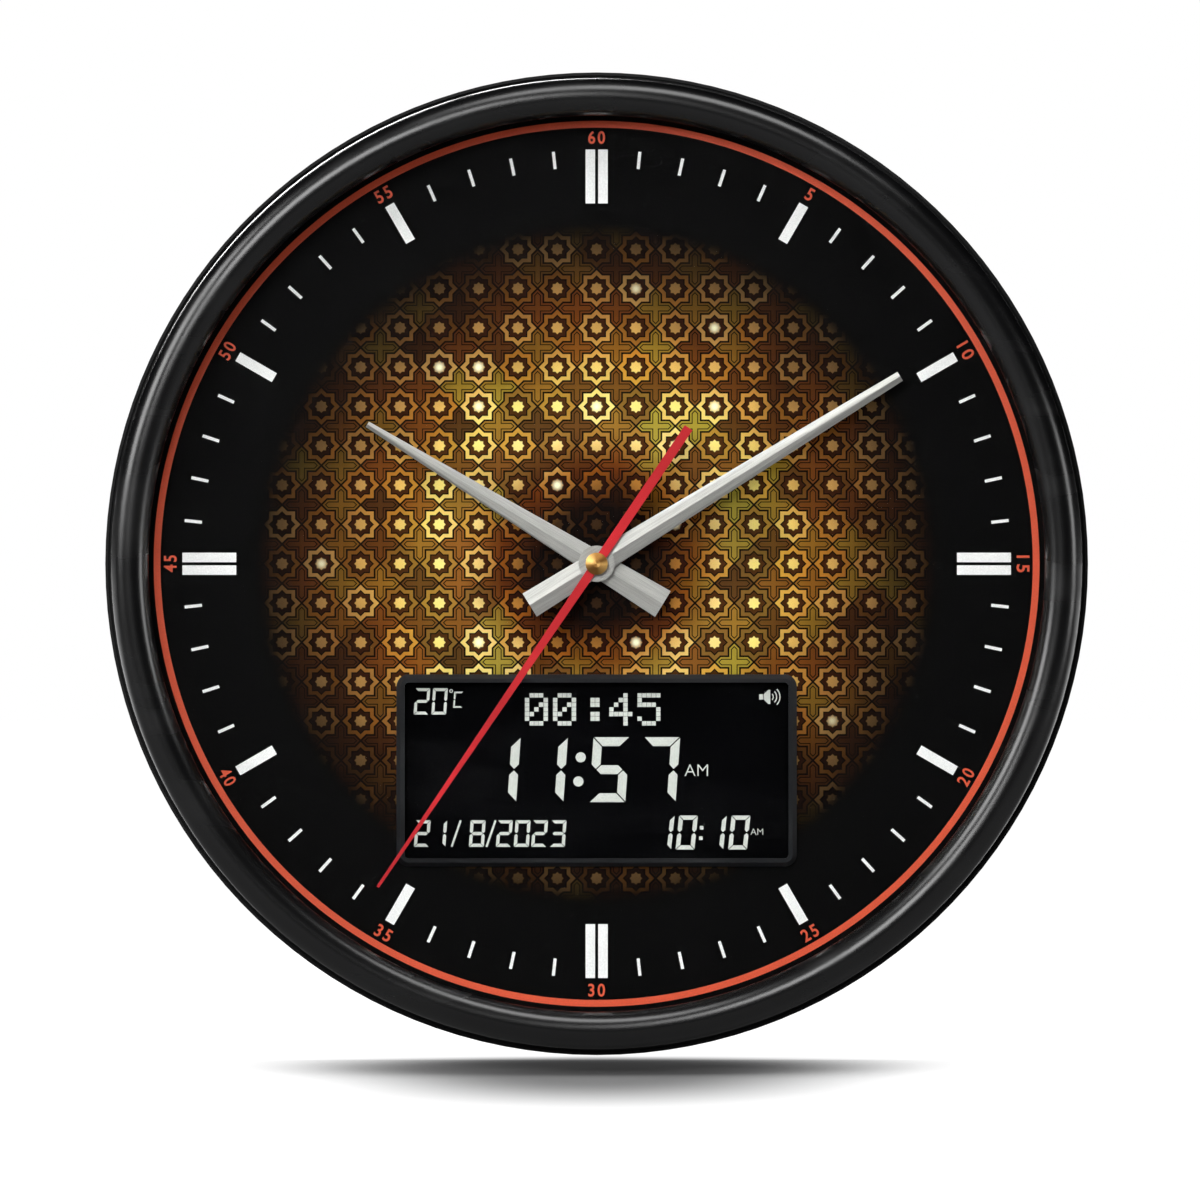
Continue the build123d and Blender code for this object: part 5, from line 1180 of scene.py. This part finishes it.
@dataclass
class Display:
    """What the display shows, all of it plain numbers, on the front of its glass.

    Attributes:
        depth: Where the glass's front lies, out from the wall.
        film: How thick the lit marks are.
        dot_pitch: The spacing of the dot letters' dots.
        dot: The size of one dot.
        dot_start: The middle of the first dot, across and up.
        letter_pitch: The spacing of the dot letters.
    """

    depth: float = 32.3
    film: float = 0.04
    dot_pitch: float = 1.664
    dot: float = 1.54
    dot_start: tuple[float, float] = (-24.77, -46.85)
    letter_pitch: float = 10.02

    def big_time(self) -> Piece:
        """Models the large time and its colon."""
        row = SevenBar("lcd_time", 12.9, 23.1, 3.15, 0.42, self.film).row(
            "1157", (-34.3, -17.5, 4.56, 22.5), -73.3, self.depth)
        dots = [self.round_dot(x, z, 1.8) for x, z in ((-5.66, -68.9), (-6.5, -77.5))]
        return Bench.join("lcd_time", [row, *dots])

    def round_dot(self, x: float, z: float, radius: float) -> Piece:
        """Models a round dot with a softened rim.

        Args:
            x: Its middle, across.
            z: Its middle, up.
            radius: Its radius.

        Returns:
            The dot.
        """
        dot = Bench.disc("dot", radius, 40, (x, self.depth, z))
        with Bench.editing(dot):
            bpy.ops.mesh.select_all(action="SELECT")
            bpy.ops.mesh.extrude_region_move(
                TRANSFORM_OT_translate={"value": (0, -self.film * MM, 0)})
            bpy.ops.mesh.inset(thickness=0.02 * MM)
        return Bench.outward(dot)

    def date(self) -> Piece:
        """Models the date."""
        up = -96.06
        row = SevenBar("lcd_date", 5.35, 9.45, 1.12, 0.2, self.film).row(
            "2182023", (-62.07, -56.2, -42.5, -32.85, -26.5, -20.3, -13.7), up, self.depth)
        slash = Bench.bar("slash", 0.72, 10.0, self.film, 0.1)
        leaning = [at(x, self.depth, up) @ round_shaft(19.0) for x in (-50.0, -37.6)]
        return Bench.join("lcd_date", [row, Bench.copies("slashes", slash, leaning)])

    def small_time(self) -> Piece:
        """Models the small time and its colon of two square dots."""
        row = SevenBar("lcd_small_time", 6.7, 12.1, 1.5, 0.26, self.film, 6.0).row(
            "1010", (23.8, 32.1, 42.35, 50.8), -95.7, self.depth)
        square = Bench.bar("square", 1.3, 1.3, self.film, 0.15)
        colon = [at(x, self.depth, z) for x, z in ((37.4, -94.0), (37.1, -97.7))]
        return Bench.join("lcd_small_time", [row, Bench.copies("dots", square, colon)])

    def warmth(self) -> Piece:
        """Models the temperature with its ring and letter."""
        row = SevenBar("lcd_warmth", 5.25, 9.35, 1.0, 0.18, self.film).row(
            "20", (-62.2, -55.9), -49.0, self.depth)
        letter = SevenBar("lcd_letter", 3.2, 5.7, 0.55, 0.12, self.film).row(
            "C", (-49.3,), -48.4, self.depth)
        ring = Bench.washer("ring", 0.65, 0.35, self.depth, self.depth + self.film, 24)
        ring.data.transform(Matrix.Translation((-51.8 * MM, 0, -45.3 * MM)))
        return Bench.join("lcd_warmth", [row, letter, ring])

    def dot_letters(self, body: str = "00:45") -> Piece:
        """Models the dot letters' row.

        Args:
            body: The plain numbers that it shows.

        Returns:
            The row as one piece.
        """
        left, top = self.dot_start
        places = [at(left + number * self.letter_pitch + column * self.dot_pitch, self.depth,
                     top - row * self.dot_pitch)
                  for number, character in enumerate(body)
                  for row, line in enumerate(DOTS[character])
                  for column, filled in enumerate(line) if filled == "#"]
        pattern = Bench.bar("dot", self.dot, self.dot, self.film, 0.0)
        return Bench.copies("lcd_dot_letters", pattern, places)

    def halves(self) -> Piece:
        """Models the two marks for the half of the day."""
        made = []
        for height, x, z in ((4.1, 35.5, -73.5), (2.2, 57.05, -95.4)):
            made.append(Bench.words("half", "AM", height, self.film, -0.012))
            made[-1].data.transform(at(x, self.depth, z))
        return Bench.join("lcd_halves", made)

    def loudspeaker(self) -> Piece:
        """Models a plain loudspeaker with three waves."""
        x, z = 61.2, -47.4
        box = Bench.bar("box", 1.5, 1.9, self.film, 0.1)
        box.data.transform(at(x - 2.6, self.depth, z))
        horn = Bench.bar("horn", 2.3, 5.0, self.film, 0.0)
        for way in (1, -1):
            Bench.cut(horn, (-1.15, way * 0.95), (-1, way * 1.35))
        horn.data.transform(at(x - 0.5, self.depth, z))
        waves = []
        for radius in (1.7, 2.9, 4.1):
            wave = Bench.washer("wave", radius, radius - 0.42, self.depth,
                                self.depth + self.film, 48)
            for way in (1, -1):
                Bench.cut(wave, (0, 0), (-1, way * 1.15))
            wave.data.transform(Matrix.Translation(((x + 0.2) * MM, 0, z * MM)))
            waves.append(wave)
        return Bench.join("lcd_loudspeaker", [box, horn, *waves])

    def pane(self) -> Piece:
        """Models the clear window with its softened front edge, just clear of the lit marks."""
        low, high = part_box("display_window")
        back, front = self.depth + self.film + 0.02, -low.y / MM
        pane = Bench.bar("window_pane", (high.x - low.x) / MM, (high.z - low.z) / MM,
                         front - back, 0.4)
        edge = -(front - back) * MM
        with Bench.editing(pane):
            Bench.pick_edges(pane, lambda a, b: abs(a.y - edge) < 1e-6 and abs(b.y - edge) < 1e-6)
            bpy.ops.mesh.bevel(offset=0.15 * MM, segments=2, affect="EDGES")
        pane.data.transform(at((low.x + high.x) / 2 / MM, back, (low.z + high.z) / 2 / MM))
        Pane("window_pane", WINDOW_TINT, WINDOW_IOR).on(pane)
        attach(pane, CASE)
        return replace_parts(pane, "display_window")

    def build(self) -> list[Piece]:
        """Builds and dresses what the display shows, and the pane over it.

        Returns:
            The pieces.
        """
        made = [self.big_time(), self.date(), self.small_time(), self.warmth(), self.dot_letters(),
                self.halves(), self.loudspeaker()]
        Printed("lcd_lit", ink(204, 207, 198), 0.12).on(*made)
        for piece in made:
            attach(piece, CASE)
        return [*made, self.pane()]


# ------------------------------------------------------------------ the frame's own pieces
@dataclass
class Clockwork:
    """The finishes of the pieces that the frame brings, each by its node.

    Attributes:
        hour: Where the hour hand points, in degrees clockwise from twelve.
        minute: Where the minute hand points.
    """

    hour: float = 301.3
    minute: float = 58.3

    def finishes(self) -> dict[Finish, tuple[str, ...]]:
        """Returns each finish and the nodes that have it."""
        silver = ink(190, 189, 184)
        cells = [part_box(name) for name in ("batteries", "movement_battery")]
        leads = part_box("battery_leads")
        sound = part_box("speaker_leads")
        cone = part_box("speaker_cone")
        return {
            Moulded("bezel_satin", ink(9, 9, 10), 0.26, 4200.0, 4e-6, 0.9): ("front_bezel",),
            Moulded("housing_black", ink(22, 22, 23), 0.55, 2400.0, 3e-5, 0.35): (
                "rear_housing", "battery_door"),
            Moulded("trim_gloss", ink(13, 15, 18), 0.3, 4200.0, 1e-6, 0.5): ("display_trim",),
            Moulded("glass_black", ink(5, 5, 6), 0.12, 3000.0, 1e-6, 0.15): ("lcd_glass",),
            Pane("lens_clear", (0.985, 0.99, 0.99, 1.0), 1.1): ("lens",),
            Pane("window_pane", WINDOW_TINT, WINDOW_IOR): ("display_window",),
            DialPrint("dial_sheet"): ("dial_plate",),
            Moulded("guide_milky", ink(228, 230, 228), 0.4, 1500.0, 1e-5): ("light_panel",),
            Moulded("silicone_grey", ink(120, 121, 124), 0.62, 2600.0, 2e-5): (
                "elastomer_connectors", "key_mat"),
            Moulded("washer_rubber", ink(30, 30, 31), 0.7, 2600.0, 2e-5): ("bush_washer",),
            Board("board_lacquer"): ("main_board", "key_board", "timer_board"),
            Moulded("chip_moulding", ink(28, 28, 30), 0.55, 5200.0, 1.5e-5): (
                "board_chips", "temperature_sensor"),
            Plated("can_blue", ink(96, 108, 146), 0.3): ("board_capacitors",),
            Plated("zinc_plate", ink(178, 180, 184), 0.3): (
                "housing_screws", "inner_screws", "hanger_plate", "hanger_screws", "speaker_frame",
                "quartz_crystal"),
            Plated("magnet_can", ink(150, 150, 154), 0.36): ("speaker_magnet",),
            Fibre("cone_pressed", ink(34, 33, 32), (cone[0].z + cone[1].z) / 2): ("speaker_cone",),
            Cell("cells_upright", 2, cells[0][0].z, cells[0][1].z): ("batteries",),
            Cell("cell_across", 0, cells[1][0].x, cells[1][1].x): ("movement_battery",),
            Plated("nickel", ink(202, 200, 190), 0.24): (
                "battery_springs", "battery_contacts", "movement_contacts"),
            Pair("leads_battery", 0, (leads[0].x + leads[1].x) / 2): ("battery_leads",),
            Pair("leads_speaker", 0, (sound[0].x + sound[1].x) / 2): ("speaker_leads",),
            Moulded("movement_moulding", ink(30, 30, 31), 0.42, 3600.0, 1.2e-5): (
                "movement_front_case", "movement_rear_case", "setting_knob"),
            Moulded("bridge_moulding", ink(222, 221, 214), 0.45, 3600.0, 1e-5): ("train_bridge",),
            Plated("iron_sheet", ink(150, 148, 146), 0.38): ("stator", "coil_core"),
            Moulded("bobbin_red", ink(150, 34, 30), 0.45, 3600.0, 1e-5): ("coil_bobbin",),
            Wound("copper_turns"): ("coil_winding",),
            Moulded("acetal", ink(226, 222, 208), 0.4, 4200.0, 8e-6): (
                "rotor", "intermediate_wheel", "second_wheel", "third_wheel", "centre_wheel",
                "minute_wheel", "hour_wheel"),
            Turned("brass_turned", ink(224, 178, 106), ink(158, 112, 58), 0.42): (
                "minute_arbor", "bush_nut", "hand_cap"),
            Brushed("hour_silver", silver, self.hour): ("hour_hand",),
            Brushed("minute_silver", silver, self.minute): ("minute_hand",),
            Moulded("hand_crimson", ink(178, 26, 34), 0.45, 4200.0, 5e-6, 0.25): ("second_hand",),
            Moulded("button_rubber", ink(96, 97, 100), 0.58, 3000.0, 1.5e-5): (
                "set_button", "up_button", "down_button", "mode_button", "volume_button",
                "stop_button"),
        }

    def dress(self) -> None:
        """Gives every node its finish and stops if one is left out."""
        left = set(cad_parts)
        for finish, nodes in self.finishes().items():
            finish.on(*[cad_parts[node] for node in nodes])
            left -= set(nodes)
            log.info("finish %s on %d nodes", finish.name, len(nodes))
        if left:
            raise ValueError("these nodes have no finish: " + ", ".join(sorted(left)))


# ------------------------------------------------------------------ the studio
def set_up(name: str, data: bpy.types.ID, place: Sequence[float], facing: Sequence[float]) -> Piece:
    """Puts a lamp or a camera into the scene."""
    made = bpy.data.objects.new(name, data)
    bpy.context.scene.collection.objects.link(made)
    made.location, made.rotation_euler = place, facing
    return made


@dataclass
class Lamp:
    """One soft area lamp.

    Attributes:
        name: Its name.
        place: Where it hangs, in metres.
        size: Its width and height in metres.
        power: Its power in watts.
    """

    name: str
    place: tuple[float, float, float]
    size: tuple[float, float]
    power: float

    def hang(self, target: Vector) -> None:
        """Hangs the lamp so that it faces the target."""
        data = bpy.data.lights.new(self.name, "AREA")
        data.shape = "RECTANGLE"
        data.size, data.size_y = self.size
        data.energy = self.power
        facing = (target - Vector(self.place)).to_track_quat("-Z", "Y").to_euler()
        set_up(self.name, data, self.place, facing)


@dataclass
class Studio:
    """The floor, the lamps, the world and the camera.

    Attributes:
        floor: How far below the shaft the floor lies, in metres.
        lens: The camera's focal length in millimetres.
        sensor: The width of its sensor in millimetres.
        clip: The nearest and the farthest that it sees, in metres.
        stand: How far in front of the wall the camera stands, in metres.
        aim: Where the camera points, across and up, in metres.
        half: Half the floor's size, in metres.
        fall: How far the floor drops from the clock to its front edge, in metres.
        reach: How far from the clock its contact shade reaches over the floor, in metres.
        pool: How far the painted shade round its foot reaches, across and in depth, in metres. It
            is a painted shadow at a fixed place in the floor's glow, not cast by the clock.
        pool_shade: How much of the floor's glow is left in the middle of that painted shade.
        paper: The floor's darkest and lightest tone.
        dome: What the world gives off from below and from above.
        lamps: The lamps.
    """

    floor: float = 0.1775
    lens: float = 600.0
    sensor: float = 36.0
    clip: tuple[float, float] = (0.5, 80.0)
    stand: float = 7.154
    aim: tuple[float, float] = (0.0012, -0.0129)
    half: float = 20.0
    fall: float = 1.9
    reach: float = 0.08
    # The oval round the foot is a painted shadow in the floor's glow.
    pool: tuple[float, float] = (0.125, 0.13)
    pool_shade: float = 0.08
    paper: tuple[Colour, Colour] = ((0.20, 0.20, 0.20, 1), (0.22, 0.22, 0.22, 1))
    dome: tuple[Colour, Colour] = ((0.10, 0.10, 0.10, 1), (0.20, 0.20, 0.21, 1))
    lamps: tuple[Lamp, ...] = (
        Lamp("top", (0.28, -0.97, 1.96), (1.7, 0.8), 17.0),
        Lamp("upper_left", (-1.80, -0.97, 0.82), (0.9, 1.3), 21.0),
        Lamp("right", (2.06, -0.76, -0.02), (0.7, 1.3), 10.0),
        Lamp("front", (-0.75, -2.4, 0.95), (1.1, 0.8), 20.0),
        Lamp("back", (-0.6, 2.3, 1.0), (1.2, 0.9), 30.0))

    def camera(self) -> None:
        """Sets up the camera square on to the dial."""
        data = bpy.data.cameras.new("camera")
        data.lens, data.sensor_width = self.lens, self.sensor
        data.clip_start, data.clip_end = self.clip
        bpy.context.scene.camera = set_up("camera", data, (self.aim[0], -self.stand, self.aim[1]),
                                          (math.pi / 2, 0, 0))

    def seen(self, graph: Graph, behind: Feed) -> Socket:
        """Finds the rays that show the background: the camera's, and those off gloss or in glass.

        Args:
            graph: The material's graph.
            behind: 1 where the background lies behind the clock, and 0 in front of it.

        Returns:
            1 for such a ray.
        """
        path = graph.add("LightPath").outputs
        mirrored = graph.larger(path["Is Glossy Ray"], path["Is Transmission Ray"])
        return graph.larger(path["Is Camera Ray"], graph.times(mirrored, behind))

    def ground(self) -> None:
        """Lays the pale floor, which falls gently to the front so that it shows the shadow, and a
        painted shade at its foot.
        """
        bpy.ops.object.select_all(action="DESELECT")
        bpy.ops.mesh.primitive_plane_add(size=2 * self.half, location=(0, 0, -self.floor))
        floor = Bench.named("floor")
        with Bench.editing(floor):
            bpy.ops.mesh.select_all(action="SELECT")
            bpy.ops.mesh.subdivide(number_cuts=1)
            bpy.ops.mesh.select_all(action="DESELECT")
            work = bmesh.from_edit_mesh(floor.data)
            for corner in work.verts:
                corner.select_set(corner.co.y < -self.half / 2)
            bmesh.update_edit_mesh(floor.data)
            bpy.ops.transform.translate(value=(0, 0, -self.fall))
        made = bpy.data.materials.new("floor_white")
        made.use_nodes = True
        graph = Graph(made.node_tree)
        spot = graph.place()
        paper = graph.mix(graph.noise(spot, 1.5, 2.0), *self.paper)
        matt = graph.add("BsdfDiffuse", {0: paper})
        _, y, _ = graph.parts(spot)
        open_sky = graph.add("AmbientOcclusion", {"Distance": self.reach}, samples=12).outputs["AO"]
        # A fixed oval round the foot dims the glow there: painted shadow. The contact shade beside
        # it comes from occlusion by the clock.
        painted_oval_space = graph.add("Mapping", {0: spot, 1: (0.0, 0.3, 0.0),
                                       3: (1 / self.pool[0], 1 / self.pool[1], 0.0)}).outputs[0]
        away = graph.add("VectorMath", {0: painted_oval_space}, operation="LENGTH").outputs["Value"]
        level = graph.times(graph.step(open_sky, 0.25, 0.85),
                            graph.step(away, 0.2, 1.0, self.pool_shade))
        seen = self.seen(graph, graph.step(y, 0.05, 0.5))
        glow = graph.add("Emission", {0: WHITE, 1: graph.times(seen, level)})
        both = graph.add("AddShader", {0: matt.outputs[0], 1: glow.outputs[0]})
        graph.add("OutputMaterial", {0: both.outputs[0]})
        floor.data.materials.append(made)

    def sky(self) -> None:
        """Makes the world white where it is seen, and dimmer towards the camera's own side."""
        world = bpy.data.worlds.new("studio")
        bpy.context.scene.world = world
        world.use_nodes = True
        graph = Graph(world.node_tree)
        direction = graph.parts(graph.add("TexCoord").outputs["Generated"])
        behind = graph.step(direction[1], 0.965, 0.995)
        path = graph.add("LightPath").outputs
        mirrored = graph.mix(behind, BLACK, WHITE)
        soft = graph.mix(graph.step(direction[2], -0.2, 1.0), *self.dome)
        indirect = graph.larger(path["Is Glossy Ray"], path["Is Transmission Ray"])
        colour = graph.mix(path["Is Camera Ray"], graph.mix(indirect, soft, mirrored), WHITE)
        back = graph.add("Background", {0: colour, 1: 1.0})
        graph.add("OutputWorld", {0: back.outputs[0]})

    def build(self) -> None:
        """Sets up the whole studio."""
        self.camera()
        self.ground()
        self.sky()
        for lamp in self.lamps:
            lamp.hang(Vector((0, 0, 0)))
        bpy.context.scene.view_settings.view_transform = "Standard"


def main() -> None:
    """Builds every piece in order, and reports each."""
    logging.basicConfig(level=logging.INFO, format="%(name)s: %(message)s")
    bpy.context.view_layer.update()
    Clockwork().dress()
    for maker in (DialScale(), Display()):
        for piece in maker.build():
            log.info("piece %s has %d faces", piece.name, len(piece.data.polygons))
    Studio().build()
    bpy.context.view_layer.update()


if __name__ == "__main__":
    main()
